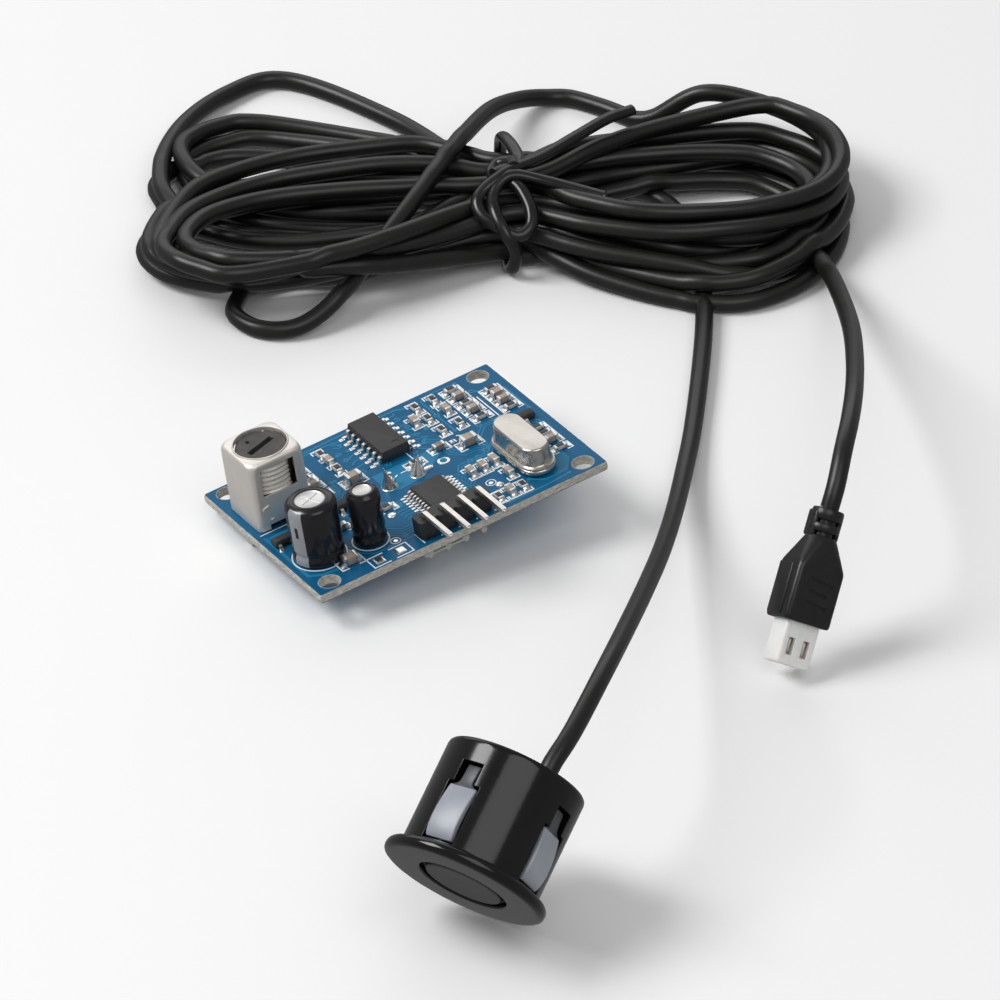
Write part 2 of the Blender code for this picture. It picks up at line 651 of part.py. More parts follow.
# ---------------------------------------------------------------- probe


def probe_profile():
    r, body, bore, back = FLANGE_RADIUS / MM, BODY_RADIUS / MM, BORE_RADIUS / MM, PROBE_LONG / MM
    return [(5.6, 0.0), (r - 0.5, 0.0), (r - 0.15, 0.15), (r, 0.5), (r, 1.05), (r - 0.15, 1.35),
            (r - 0.3, 1.45), (body + 0.15, 1.45), (body, 1.6), (body, back - 0.6),
            (body - 0.2, back - 0.15), (body - 0.5, back), (bore + 0.3, back),
            (bore, back - 0.2), (bore, 1.3), (5.45, 1.05), (5.45, 0.15)]


def make_probe(frame):
    shape = bmesh.new()
    add_turned(shape, [(radius * MM, height * MM) for radius, height in probe_profile()], 64)
    housing = place("probe_housing", shape, gloss_black(), frame)
    pocket = [(-2.2, 1.9), (2.2, 1.9), (2.2, 9.3), (1.45, 9.3), (1.45, 12.0), (-1.45, 12.0),
              (-1.45, 9.3), (-2.2, 9.3)]
    outward = Matrix(((0, 0, 1, 0), (1, 0, 0, 0), (0, 1, 0, 0), (0, 0, 0, 1)))
    cutter = bmesh.new()
    for angle in CLIP_ANGLES:
        aim = Matrix.Rotation(angle, 4, "Z") @ outward
        add_prism(cutter, [(x * MM, z * MM) for x, z in pocket], 6.5 * MM, 11.0 * MM, aim)
    boolean(housing, helper("clip_pockets", cutter, frame), "DIFFERENCE")
    turned = {
        "decoupling_ring": (black_rubber(), [(4.85, 0.45), (5.35, 0.45), (5.35, 1.1), (5.92, 1.5),
                                             (5.92, 8.35), (4.85, 8.35)]),
        "transducer_can": (aluminium(), [(0.0, 0.75), (4.25, 0.75), (4.25, 8.3), (4.75, 8.3),
                                         (4.75, 0.22), (4.58, 0.05), (0.0, 0.05)]),
        "piezo_disc": (ceramic_tan(), solid_profile(3.6, 0.82, 1.1)),
        "damping_pad": (felt(), solid_profile(4.05, 1.2, 4.2)),
        "potting_resin": (resin(), solid_profile(5.9, 8.5, POTTING_BACK / MM)),
    }
    for name, (look, profile) in turned.items():
        shape = bmesh.new()
        add_turned(shape, [(radius * MM, height * MM) for radius, height in profile], 40)
        place(name, shape, look, frame)
    for count, angle in enumerate(CLIP_ANGLES, 1):
        make_clip(f"retaining_clip_{count}", frame, angle)


def solid_profile(radius, low, high):
    return [(0.0, low), (radius, low), (radius, high), (0.0, high)]


def make_clip(name, frame, angle):
    """A bowed nylon leaf whose origin is the line that it bends about; its x points outwards."""
    sections = [(11.75, 1.8, 7.2, 7.9), (10.4, 1.8, 7.35, 8.0), (9.2, 1.8, 7.5, 8.15),
                (9.0, 3.8, 7.5, 8.2), (7.6, 3.8, 7.75, 8.5), (5.3, 3.8, 8.05, 8.8),
                (3.6, 3.8, 7.95, 8.75), (2.5, 3.7, 7.7, 8.5), (2.2, 3.5, 7.8, 8.35)]
    radius, height = CLIP_HINGE
    shape = bmesh.new()
    rings = []
    for z, width, inner, outer in sections:
        corners = [(inner, -width / 2.0), (outer, -width / 2.0), (outer, width / 2.0),
                   (inner, width / 2.0)]
        rings.append([Vector((x * MM - radius, y * MM, z * MM - height)) for x, y in corners])
    add_loft(shape, rings)
    at = (radius * math.cos(angle), radius * math.sin(angle), height)
    place(name, shape, clip_nylon(), frame, at, angle)


# ---------------------------------------------------------------- plug and cord


def make_plug(frame):
    sections = [(8.1, 2.45, 2.1, 0.3), (PLUG_NOSE / MM, 2.45, 2.1, 0.3), (PLUG_NOSE / MM, 3.0, 2.65, 0.5),
                (5.45, 3.15, 2.8, 0.6), (12.0, 3.15, 2.8, 0.7), (15.7, 1.95, 1.95, 1.5),
                (15.9, 1.8, 1.8, 1.8), (16.0, 1.45, 1.45, 1.45), (16.4, 1.45, 1.45, 1.45),
                (16.5, 1.95, 1.95, 1.95), (17.35, 1.95, 1.95, 1.95), (17.45, 1.45, 1.45, 1.45),
                (17.85, 1.45, 1.45, 1.45), (17.95, 1.95, 1.95, 1.95), (19.0, 1.95, 1.95, 1.95),
                (PLUG_LONG / MM, 1.7, 1.7, 1.7)]
    shape = bmesh.new()
    add_loft(shape, [rounded_rectangle(x * MM, y * MM, radius * MM, z * MM)
                     for z, x, y, radius in sections])
    place("plug_overmould", shape, black_rubber(), frame)
    shape = bmesh.new()
    add_block(shape, (4.6 * MM, 3.9 * MM, 8.0 * MM), (0.0, 0.0, 4.0 * MM), 0.2 * MM)
    housing = place("plug_housing", shape, white_nylon(), frame, round_piece=False)
    channels = bmesh.new()
    windows = bmesh.new()
    for side in (-1, 1):
        x = side * CONTACT_PITCH / 2.0
        add_block(channels, (1.2 * MM, 1.5 * MM, 9.0 * MM), (x, -0.4 * MM, 3.0 * MM))
        add_block(windows, (0.9 * MM, 2.0 * MM, 2.1 * MM), (x, -1.6 * MM, 2.2 * MM))
    boolean(housing, helper("plug_channels", channels, frame), "DIFFERENCE")
    boolean(housing, helper("plug_windows", windows, frame), "DIFFERENCE")
    for count, side in enumerate((-1, 1), 1):
        shape = bmesh.new()
        add_block(shape, (0.9 * MM, 1.1 * MM, 6.0 * MM),
                  (side * CONTACT_PITCH / 2.0, -0.4 * MM, 4.2 * MM), 0.08 * MM)
        place(f"plug_contact_{count}", shape, tin_plate(), frame, round_piece=False)


def make_cord(probe, plug):
    """The cord's two free ends as tubes, its wound middle as one plain solid, and the tie."""
    def measured(route):
        return [Vector(point) * MM for point in route]

    back = probe @ Vector((*CORD_EXIT, POTTING_BACK + GAP))
    ahead = probe @ Vector((*CORD_EXIT, POTTING_BACK + 2.5 * MM))
    route = smooth_route([back, ahead, *measured(PROBE_ROUTE)], 5.0 * MM)
    tube("cord_probe_end", route, CORD_WIDE, cord_jacket())
    collar = plug @ Vector((0.0, 0.0, PLUG_LONG + GAP))
    beyond = plug @ Vector((0.0, 0.0, PLUG_LONG + 3.0 * MM))
    route = smooth_route([collar, beyond, *measured(PLUG_ROUTE)], 5.0 * MM)
    tube("cord_plug_end", route, CORD_WIDE, cord_jacket())

    ends = [Vector((x, y, 0.0)) * MM for x, y in HANK_OUTLINE]
    around = smooth_route([*ends, ends[0]], 4.0 * MM)[:-1]
    shape = bmesh.new()
    add_prism(shape, [(point.x, point.y) for point in around], HANK_LOW, HANK_HIGH)
    hank = place("cord_hank", shape, cord_jacket(), round_piece=False)
    channel = bmesh.new()
    rings = []
    for side, low, high in ((-1, *TIE_GROOVE_OUT), (1, *TIE_GROOVE_OUT), (1, *TIE_GROOVE_IN),
                            (-1, *TIE_GROOVE_IN)):
        x = TIE_X + side * TIE_GROOVE_WIDE / 2.0
        corners = [(low[0], low[1]), (high[0], low[1]), (high[0], high[1]), (low[0], high[1])]
        rings.append([Vector((x, y, z)) * MM for y, z in corners])
    add_loft(channel, rings, closed=True)
    boolean(hank, helper("tie_channel", channel), "DIFFERENCE")
    tube("cord_tie", smooth_route(measured(TIE_ROUTE), 3.0 * MM), TIE_WIDE, black_plastic(), sides=1)


def main():
    clear_scene()
    board = frame_empty("board_frame", BOARD_AT,
                        Matrix.Rotation(BOARD_LEAN, 3, "Y") @ Matrix.Rotation(BOARD_YAW, 3, "Z"))
    make_board(board)
    make_coil(board)
    make_capacitor(board, "big_capacitor", BIG_CAP)
    make_capacitor(board, "small_capacitor", SMALL_CAP)
    make_crystal(board)
    make_header(board)
    make_chip(board, "amplifier_chip", AMPLIFIER_AT, (3.9 * MM, 8.65 * MM, 1.65 * MM), 7,
              1.27 * MM, 3.05 * MM, 0.42 * MM)
    make_chip(board, "controller_chip", CONTROLLER_AT, (4.4 * MM, 6.5 * MM, 1.1 * MM), 10,
              0.65 * MM, 3.2 * MM, 0.25 * MM)
    for count, (spot, front_leads) in enumerate(TRANSISTORS, 1):
        make_transistor(board, f"transistor_{count}", spot, front_leads)
    make_ceramics(board)
    make_socket(board)

    probe = frame_empty("probe_frame", PROBE_AT,
                        Euler((PROBE_LEAN - math.pi / 2.0, 0.0, PROBE_YAW - math.pi / 2.0)).to_matrix())
    make_probe(probe)
    lean = Euler((PLUG_LEAN - math.pi / 2.0, 0.0, PLUG_YAW - math.pi / 2.0)).to_matrix()
    plug = frame_empty("plug_frame", PLUG_AT, lean @ Matrix.Rotation(PLUG_ROLL, 3, "Z"))
    make_plug(plug)
    make_cord(probe.matrix_world, plug.matrix_world)


main()
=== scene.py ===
"""Looks of the ultrasonic distance sensor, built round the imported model.

Lengths are in millimetres until a mesh is made. Each group of pieces is modelled in a frame of its
own: the board's (x along its long side, y along its short side, z up from its top face), the
probe's (z from its face to its back) and the plug's (z from its open end to its cord).
"""

import math
import random

import bmesh
import bpy
import numpy as np
from mathutils import Euler, Matrix, Vector


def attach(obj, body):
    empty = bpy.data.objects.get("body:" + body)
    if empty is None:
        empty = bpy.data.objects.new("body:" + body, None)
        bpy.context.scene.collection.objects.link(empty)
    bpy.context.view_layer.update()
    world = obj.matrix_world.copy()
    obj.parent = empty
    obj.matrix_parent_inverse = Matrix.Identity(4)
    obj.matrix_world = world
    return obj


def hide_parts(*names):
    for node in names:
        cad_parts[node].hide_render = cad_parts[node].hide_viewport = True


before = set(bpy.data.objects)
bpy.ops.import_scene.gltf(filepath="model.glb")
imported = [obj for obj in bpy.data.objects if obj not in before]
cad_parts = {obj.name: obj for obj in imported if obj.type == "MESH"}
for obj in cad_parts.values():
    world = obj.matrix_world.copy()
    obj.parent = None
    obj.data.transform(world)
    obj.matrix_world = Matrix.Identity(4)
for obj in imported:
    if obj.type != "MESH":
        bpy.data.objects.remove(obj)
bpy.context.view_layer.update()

MM = 0.001
DEG = math.radians(1)


def placed(at, turned=Matrix.Identity(4)):
    """A frame at a place in millimetres, turned by a matrix."""
    return Matrix.Translation(Vector(at) * MM) @ turned


def spin(degrees, axis="Z"):
    return Matrix.Rotation(degrees * DEG, 4, axis)


def on_board(at):
    return BOARD @ placed((*at, 0))


BOARD = placed((-10, 11.6, 4.86), spin(-8, "Y") @ spin(31.5))
PROBE = placed((7.25, -50.24, 8.48), Euler((-56.2 * DEG, 0, -30.5 * DEG)).to_matrix().to_4x4())
PLUG = placed((45.57, 1.52, 2.05), Euler((-40.7 * DEG, 0, -24.8 * DEG)).to_matrix().to_4x4() @ spin(45))
WORLD = Matrix.Identity(4)

BOARD_LONG, BOARD_WIDE, BOARD_THICK = 41, 28.5, 1.2
MOUNT_HOLES = [(2.4, 1.85), (38.6, 1.85), (2.4, 26.65), (38.6, 26.65)]
COIL_AT = (4.9, 19.95)
BIG_CAP = {"at": (4.35, 7.5), "radius": 3.15, "high": 8.35}
SMALL_CAP = {"at": (10.65, 5.9), "radius": 2.05, "high": 7.5}
CRYSTAL_AT = (33.9, 7.9)
HEADER_AT, HEADER_PITCH = (16.45, 2.25), 2.54
AMPLIFIER_AT, CONTROLLER_AT = (22, 22.8), (21.4, 7.55)
SOCKET_AT = (20.2, 13.2)
CLIP_ANGLES = [-11, 79, 169, 259]
PLUG_LONG, PLUG_NOSE = 19.3, 5.2

CORD_WIDE = 2.3
CORD_EXIT = (3.2, 0.7, 14.7)
PROBE_ROUTE = [(19.9, -34.8, 19), (23.7, -23.9, 19.8), (26.2, -12.4, 17.2), (28.7, 1.7, 12.9),
    (31, 16.5, 8.2), (32.8, 30.1, 4.5), (34.2, 42, 2.2), (35.4, 52.1, 1.25), (36.6, 65.3, 1.2),
    (37.3, 77, 1.2)]
PLUG_ROUTE = [(52.6, 18.7, 21.3), (53.6, 24.8, 21.6), (54.4, 33.3, 20.2), (54.9, 44.9, 16.8),
    (55, 58.3, 12.2), (54.4, 73.2, 6.6), (53.2, 84.3, 3.2)]

# Each turn of the hank, the lowest first: the tip of its left end, the furthest back and furthest
# forward points that its two runs reach there, and the same three at its right end.
HANK_TURNS = [(((-33.4, 107.5), (-21, 115.6), (-13, 95)), ((54.6, 100), (41, 113.5), (38.5, 80.9))),
    (((-31.7, 107), (-16, 133.6), (-14, 93)), ((55, 103), (36, 120.6), (40, 83.4))),
    (((-30.6, 110.5), (-19, 118.6), (-12, 97)), ((52.5, 98.5), (42, 108.2), (37, 84))),
    (((-32.8, 97), (-12, 106), (-15, 88)), ((53.8, 100.5), (40, 111), (38, 84.8))),
    (((-31, 112), (-20.5, 120.4), (-10, 99)), ((54.6, 104.5), (37, 117.4), (41, 85.2))),
    (((-34.6, 92), (-12, 101), (-20, 82.5)), ((53.3, 101.5), (44.5, 111.3), (35, 86.2))),
    (((-33.4, 89), (-8, 104.5), (-18, 80.5)), ((52, 99.5), (41, 109.2), (36, 86.2))),
    (((-32.3, 87.5), (-1.3, 110.9), (-20, 79)), ((54.8, 102.5), (42, 114.8), (33, 86.9))),
    (((-31.3, 83.5), (-6, 103.2), (-20.5, 75.4)), ((55.2, 105.5), (38, 122.2), (36, 88.6)))]
TOP_TURN = (((55.3, 103.1), (43.8, 116.9), (30.5, 88.6)), ((-28.8, 85), (-8, 97.7), (-20, 77.4)))
# The turn that lies outside the tie: over the left half on a slant, round a small loop, and back.
SLANTED_TURN = [(30.6, 122.9, 4.2), (24.8, 126.8, 3), (19.4, 129.4, 2.6), (14.4, 127, 4.4),
    (10.2, 119.6, 7.8), (6.6, 108, 10.6), (3, 98, 11.2), (-1, 89.6, 9.8), (-5.5, 82.6, 6.4),
    (-9.6, 77.6, 3), (-14, 74.6, 1.4), (-18.8, 74.6, 1.2), (-22, 78.2, 1.2), (-21.2, 83.2, 1.2),
    (-16.2, 86, 1.2), (-6, 87.4, 1.5)]
WAIST_X = 12.8
WAIST_MIDDLE = 99
WAIST_ROWS = [(8, 2.75), (7, 4.8), (6, 6.85)]
TIE_WIDE = 1.7
SETTLE_ROUNDS = 480

# Heights of the white print and the tracks, and the share of a chip's height where its leads leave.
SILK_HIGH, TRACK_HIGH, PARTING = 0.035, 0.03, 0.52

CAMERA_AT, CAMERA_TILT, CAMERA_LENS = (11.55, -882.86, 645.27), 55, 330.1
ROOM_GLOW, BACKDROP_GLOW = 0.26, 0.92

# Softboxes: name, place, what it aims at, size (all in metres) and power.
LIGHTS = [("softbox_left", (-0.64, 0.02, 0.72), (0, 0.03, 0), (0.45, 0.45), 6),
    ("panel_back", (-0.15, 0.81, 0.53), (0, 0, 0), (1, 0.7), 2),
    ("panel_front", (0.16, -0.34, 0.54), (0.01, -0.05, 0), (0.42, 0.42), 0.9)]
rng, edge_noise = random.Random(7), random.Random(3)


# ---- camera, floor and light


def add_object(name, data):
    made = bpy.data.objects.new(name, data)
    bpy.context.scene.collection.objects.link(made)
    return made


def make_camera():
    data = bpy.data.cameras.new("camera")
    data.lens = CAMERA_LENS
    data.sensor_width = 36
    data.clip_end = 20
    camera = add_object("camera", data)
    camera.location = Vector(CAMERA_AT) * MM
    camera.rotation_euler = (CAMERA_TILT * DEG, 0, 0)
    bpy.context.scene.camera = camera


def area_light(name, at, aim, size, power):
    data = bpy.data.lights.new(name, "AREA")
    data.shape = "RECTANGLE"
    data.size, data.size_y = size
    data.energy = power
    light = add_object(name, data)
    light.location = at
    light.rotation_euler = (Vector(aim) - Vector(at)).to_track_quat("-Z", "Y").to_euler()


def make_stage():
    mesh = bpy.data.meshes.new("floor")
    mesh.from_pydata([(-6, -6, 0), (6, -6, 0), (6, 6, 0), (-6, 6, 0)], [], [(0, 1, 2, 3)])
    floor = add_object("floor", mesh)
    mesh.materials.append(plain_look("pale_floor", (0.97, 0.97, 0.97), 0.9))
    floor.visible_glossy = False
    world = bpy.data.worlds.new("studio")
    world.use_nodes = True
    nodes, link = world.node_tree.nodes, world.node_tree.links.new
    set_inputs(nodes["Background"], Color=(1, 1, 1, 1))
    strength = nodes.new("ShaderNodeMapRange")
    set_inputs(strength, To_Min=ROOM_GLOW, To_Max=BACKDROP_GLOW)
    link(nodes.new("ShaderNodeLightPath").outputs["Is Camera Ray"], strength.inputs["Value"])
    link(strength.outputs["Result"], nodes["Background"].inputs["Strength"])
    bpy.context.scene.world = world
    for light in LIGHTS:
        area_light(*light)
    bpy.context.scene.view_settings.view_transform = "Standard"


# ---- materials


def set_inputs(node, **values):
    """Sets a node's inputs by their names, written with _ for a space."""
    for name, value in values.items():
        node.inputs[name.replace("_", " ")].default_value = value


def plain_look(name, colour, roughness, metallic=0):
    look = bpy.data.materials.new(name)
    look.use_nodes = True
    set_inputs(look.node_tree.nodes["Principled BSDF"], Base_Color=(*colour, 1), Roughness=roughness,
        Metallic=metallic)
    return look


def make_look(name, slot, colour, other, roughness, metallic, grain, bump=0, bump_grain=0,
        stretch=(1, 1, 1), rough_swing=0.08, **inputs):
    """A material whose colour wanders between two values and whose surface has fine grain."""
    look = plain_look(name, colour, roughness, metallic)
    nodes, link = look.node_tree.nodes, look.node_tree.links.new
    shader = nodes["Principled BSDF"]

    def add_node(kind, source, output, into, **values):
        made = nodes.new("ShaderNode" + kind)
        set_inputs(made, **values)
        link(source.outputs[output], made.inputs[into])
        return made

    place = add_node("Mapping", nodes.new("ShaderNodeTexCoord"), "Object", "Vector", Scale=stretch)
    noise = add_node("TexNoise", place, "Vector", "Vector", Scale=grain, Detail=6, Roughness=0.6)
    ramp = add_node("ValToRGB", noise, "Fac", "Fac")
    for end, position, shade in ((0, 0.32, colour), (1, 0.68, other)):
        ramp.color_ramp.elements[end].position = position
        ramp.color_ramp.elements[end].color = (*shade, 1)
    link(ramp.outputs["Color"], shader.inputs["Base Color"])
    gloss = add_node("MapRange", noise, "Fac", "Value", To_Min=max(0.02, roughness - rough_swing),
        To_Max=min(1, roughness + rough_swing))
    link(gloss.outputs["Result"], shader.inputs["Roughness"])
    if bump:
        fine = add_node("TexNoise", place, "Vector", "Vector", Scale=bump_grain, Detail=4)
        relief = add_node("Bump", fine, "Fac", "Height", Strength=bump, Distance=0.05 * MM)
        link(relief.outputs["Normal"], shader.inputs["Normal"])
    set_inputs(shader, Coat_Roughness=0.08, **inputs)
    LOOKS[name], SLOTS[name] = look, slot


LOOKS, SLOTS = {}, {}


def make_looks():
    """Every material: its slot, two colours, roughness, metal, grain, bump and its grain."""
    look = make_look
    look("mask", "blue_solder_mask", (0.003, 0.092, 0.208), (0.005, 0.112, 0.24), 0.36, 0, 180, 0.25, 1500,
        Specular_IOR_Level=0.15)
    look("track", "blue_solder_mask", (0.012, 0.178, 0.34), (0.018, 0.198, 0.365), 0.34, 0, 300, 0.15, 2500,
        Specular_IOR_Level=0.15)
    look("laminate", "blue_solder_mask", (0.27, 0.26, 0.23), (0.6, 0.58, 0.52), 0.8, 0, 1300, 0.8, 2600,
        (1, 1, 2.5))
    look("silk", "white_nylon", (0.86, 0.88, 0.88), (0.74, 0.77, 0.79), 0.6, 0, 900, 0.3, 4000)
    look("solder", "tinned_metal", (0.92, 0.92, 0.91), (0.8, 0.8, 0.79), 0.24, 1, 1400, 0.3, 2600)
    look("tin", "tinned_metal", (0.86, 0.83, 0.78), (0.77, 0.74, 0.7), 0.32, 1, 900, 0.1, 3000)
    look("nickel", "nickel_silver", (0.9, 0.86, 0.8), (0.82, 0.78, 0.72), 0.42, 0.65, 230, 0.18, 1500,
        (1, 1, 0.35))
    look("crystal", "nickel_silver", (0.68, 0.65, 0.6), (0.62, 0.59, 0.54), 0.27, 1, 260, 0.06, 900,
        rough_swing=0.06)
    look("aluminium", "aluminium", (0.8, 0.8, 0.79), (0.72, 0.72, 0.71), 0.42, 1, 500, 0.2, 3500)
    look("sleeve", "black_rubber", (0.008, 0.008, 0.01), (0.014, 0.014, 0.016), 0.2, 0, 250, 0.12, 700,
        Coat_Weight=0.12, Specular_IOR_Level=0.4)
    look("stripe", None, (0.3, 0.31, 0.34), (0.24, 0.25, 0.28), 0.25, 0, 300, 0.12, 700, Coat_Weight=0.4)
    look("ferrite", "grey_ferrite", (0.045, 0.043, 0.042), (0.085, 0.082, 0.08), 0.62, 0, 900, 0.8, 5000)
    look("epoxy", "black_plastic", (0.026, 0.026, 0.027), (0.04, 0.04, 0.041), 0.55, 0, 1200, 0.6, 9000)
    look("moulding", "black_plastic", (0.014, 0.014, 0.015), (0.024, 0.024, 0.025), 0.42, 0, 700, 0.4, 4000)
    look("tan", "tan_ceramic", (0.34, 0.28, 0.23), (0.43, 0.36, 0.3), 0.45, 0, 1500, 0.3, 6000)
    look("grey_ceramic", "tan_ceramic", (0.2, 0.17, 0.15), (0.28, 0.25, 0.22), 0.5, 0, 1500, 0.3, 6000)
    look("resistor", "black_plastic", (0.015, 0.015, 0.018), (0.03, 0.03, 0.034), 0.35, 0, 2000, 0.2, 5000)
    look("alumina", "tan_ceramic", (0.8, 0.8, 0.77), (0.7, 0.7, 0.67), 0.6, 0, 1500, 0.3, 5000)
    look("shell", "gloss_black_shell", (0.0035, 0.0035, 0.004), (0.006, 0.006, 0.0065), 0.15, 0, 120, 0.1,
        2200, rough_swing=0.04, Coat_Weight=0.1, Specular_IOR_Level=0.4)
    look("face", "aluminium", (0.04, 0.04, 0.039), (0.05, 0.05, 0.049), 0.45, 0, 500, 0.3, 6000)
    look("rubber", "black_rubber", (0.01, 0.01, 0.01), (0.018, 0.018, 0.018), 0.65, 0, 700, 0.5, 4000)
    look("nylon_clip", "frosted_nylon", (0.3, 0.32, 0.37), (0.36, 0.38, 0.43), 0.33, 0, 200, 0.2, 1800,
        Subsurface_Weight=0.3, Subsurface_Scale=0.001)
    # The clips' necks inside the housing's slots: the same nylon, made dark as painted shade of the slot.
    look("nylon_neck_painted_shade", None, (0.06, 0.062, 0.07), (0.08, 0.083, 0.092), 0.3, 0, 200, 0.2, 1800)
    look("white_nylon", "white_nylon", (0.82, 0.82, 0.8), (0.9, 0.9, 0.88), 0.36, 0, 250, 0.2, 2200,
        Subsurface_Weight=0.4, Subsurface_Scale=0.0012)
    look("resin", "black_resin", (0.006, 0.006, 0.006), (0.014, 0.014, 0.014), 0.24, 0, 300, 0.3, 500)
    look("overmould", "black_rubber", (0.008, 0.008, 0.009), (0.013, 0.013, 0.014), 0.33, 0, 400, 0.35,
        3200)
    look("jacket", None, (0.0075, 0.0072, 0.0065), (0.0125, 0.012, 0.011), 0.36, 0, 160, 0.25, 1300,
        rough_swing=0.07)
    look("tie", "black_plastic", (0.007, 0.007, 0.007), (0.013, 0.013, 0.013), 0.24, 0, 500, 0.3, 1200)
    look("felt", None, (0.24, 0.22, 0.2), (0.34, 0.32, 0.29), 0.95, 0, 900, 1, 3000)
    look("copper", None, (0.5, 0.2, 0.08), (0.36, 0.13, 0.05), 0.3, 1, 1200, 0.8, 2400, (0.1, 0.1, 1))
    look("quartz", None, (0.7, 0.74, 0.76), (0.8, 0.83, 0.85), 0.12, 0, 500)


# ---- mesh tools


def smooth(mesh, angle):
    mesh.shade_smooth()
    mesh.set_sharp_from_angle(angle=angle * DEG)


def mesh_of(name, shape):
    """A mesh in metres from a bmesh in millimetres, which is freed."""
    bmesh.ops.scale(shape, vec=Vector((MM, MM, MM)), verts=shape.verts)
    bmesh.ops.recalc_face_normals(shape, faces=shape.faces)
    mesh = bpy.data.meshes.new(name)
    shape.to_mesh(mesh)
    shape.free()
    return mesh


def finish_piece(name, shape, look, where=BOARD, body="sensor", angle=40, second=None, replaces=()):
    """Turns a bmesh in millimetres into a piece of the object, placed by its frame."""
    mesh = mesh_of(name, shape)
    smooth(mesh, angle)
    for each in (look, second) if second else (look,):
        mesh.materials.append(LOOKS[each])
    piece = add_object(name, mesh)
    piece.matrix_world = where
    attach(piece, body)
    if replaces:
        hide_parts(*replaces)
    return piece


def add_block(shape, size, centre, bevel=0, turned=Matrix.Identity(4), segments=3):
    made = bmesh.ops.create_cube(shape, size=1)["verts"]
    bmesh.ops.scale(shape, vec=Vector(size), verts=made)
    bmesh.ops.transform(shape, matrix=Matrix.Translation(centre) @ turned, verts=made)
    if bevel:
        edges = {edge for vert in made for edge in vert.link_edges}
        bmesh.ops.bevel(shape, geom=list(edges), offset=bevel, segments=segments, profile=0.5,
            affect="EDGES")
    return shape


def add_rings(shape, rings, closed=False):
    """Joins equal rings of points in turn; the first and last are capped unless closed."""
    made = [[shape.verts.new(point) for point in ring] for ring in rings]
    for low, high in zip(made, made[1:] + made[:1] if closed else made[1:]):
        for step in range(len(low)):
            after = (step + 1) % len(low)
            shape.faces.new((low[step], low[after], high[after], high[step]))
    if not closed:
        shape.faces.new(made[0])
        shape.faces.new(made[-1])
    return shape


def circle(radius, height, steps, centre):
    turns = [2 * math.pi * step / steps for step in range(steps)]
    return [(centre[0] + radius * math.cos(turn), centre[1] + radius * math.sin(turn), height)
        for turn in turns]


def add_turned(shape, profile, steps, centre=(0, 0), closed=False):
    """A body of revolution from (radius, height) pairs, capped flat unless closed."""
    return add_rings(shape, [circle(*point, steps, centre) for point in profile], closed)


def rounded(half_x, half_y, radius, height, steps, centre=(0, 0)):
    points = []
    for corner, (sx, sy) in enumerate([(1, 1), (-1, 1), (-1, -1), (1, -1)]):
        for step in range(steps):
            angle = (corner + step / (steps - 1)) * math.pi / 2
            x = centre[0] + sx * (half_x - radius) + radius * math.cos(angle)
            y = centre[1] + sy * (half_y - radius) + radius * math.sin(angle)
            points.append(Vector((x, y, height)))
    return points


def add_prism(shape, outline, low, high, turned=Matrix.Identity(4)):
    return add_rings(shape, [[turned @ Vector((x, y, z)) for x, y in outline] for z in (low, high)])


def smooth_route(points, spacing):
    """Points about one spacing apart on a smooth curve through the route's points."""
    route = [2 * points[0] - points[1], *points, 2 * points[-1] - points[-2]]
    found = []
    for before, start, end, after in zip(route, route[1:], route[2:], route[3:]):
        steps = max(1, round((end - start).length / spacing))
        for step in range(steps):
            t = step / steps
            bend = 2 * start + (end - before) * t
            bend += (2 * before - 5 * start + 4 * end - after) * t * t
            bend += (3 * start - before - 3 * end + after) * t**3
            found.append(bend / 2)
    return [*found, points[-1]]


def add_tube(shape, points, radii, sides, flat=1):
    """A round or flattened rod along points, with a radius at each of them."""
    across = Vector((0, 0, 1))
    rings = []
    for index, point in enumerate(points):
        ahead = points[min(index + 1, len(points) - 1)] - points[max(index - 1, 0)]
        ahead.normalize()
        across = across - ahead * across.dot(ahead)
        if across.length < 1e-6:
            across = ahead.orthogonal()
        across.normalize()
        other = ahead.cross(across)
        turns = [2 * math.pi * step / sides for step in range(sides)]
        rings.append([point + (across * math.cos(turn) * flat + other * math.sin(turn)) * radii[index]
            for turn in turns])
    return add_rings(shape, rings)


def mitred(points, reach):
    """A path's points moved to its left, so that it keeps one distance from the path."""
    path = [Vector(point) for point in points]
    moved = []
    for index, point in enumerate(path):
        before = (point - path[index - 1]).normalized() if index else None
        after = (path[index + 1] - point).normalized() if index + 1 < len(path) else None
        ahead = ((before or after) + (after or before)).normalized()
        side = Vector((-ahead.y, ahead.x))
        moved.append(point + side * (reach / max(0.5, abs(ahead.dot(after or before)))))
    return moved


def add_strip(shape, points, width, thick=SILK_HIGH, base=0):
    """A flat raised line along a path on the board, with mitred corners."""
    top = base + thick
    sides = zip(mitred(points, width / 2), mitred(points, -width / 2))
    add_rings(shape, [[(*a, base), (*b, base), (*b, top), (*a, top)] for a, b in sides])


def cut_out(piece, cutter_shape, where):
    """Cuts a shape in millimetres out of a piece, applies the result and removes the helper."""
    cutter = add_object("cutter", mesh_of("cutter", cutter_shape))
    for look in piece.data.materials:
        cutter.data.materials.append(look)
    cutter.matrix_world = where
    change = piece.modifiers.new("cut", "BOOLEAN")
    change.operation = "DIFFERENCE"
    change.solver = "EXACT"
    change.object = cutter
    bpy.context.view_layer.update()
    result = bpy.data.meshes.new_from_object(piece.evaluated_get(bpy.context.evaluated_depsgraph_get()))
    piece.modifiers.clear()
    piece.data = result
    bpy.data.objects.remove(cutter)


def soften(piece, width, segments, angle=35):
    """Rounds a piece's sharp edges a little, so that they catch the light."""
    change = piece.modifiers.new("edges", "BEVEL")
    change.width = width * MM
    change.segments = segments
    change.limit_method = "ANGLE"
    change.angle_limit = angle * DEG
    change.harden_normals = False


# ---- cord


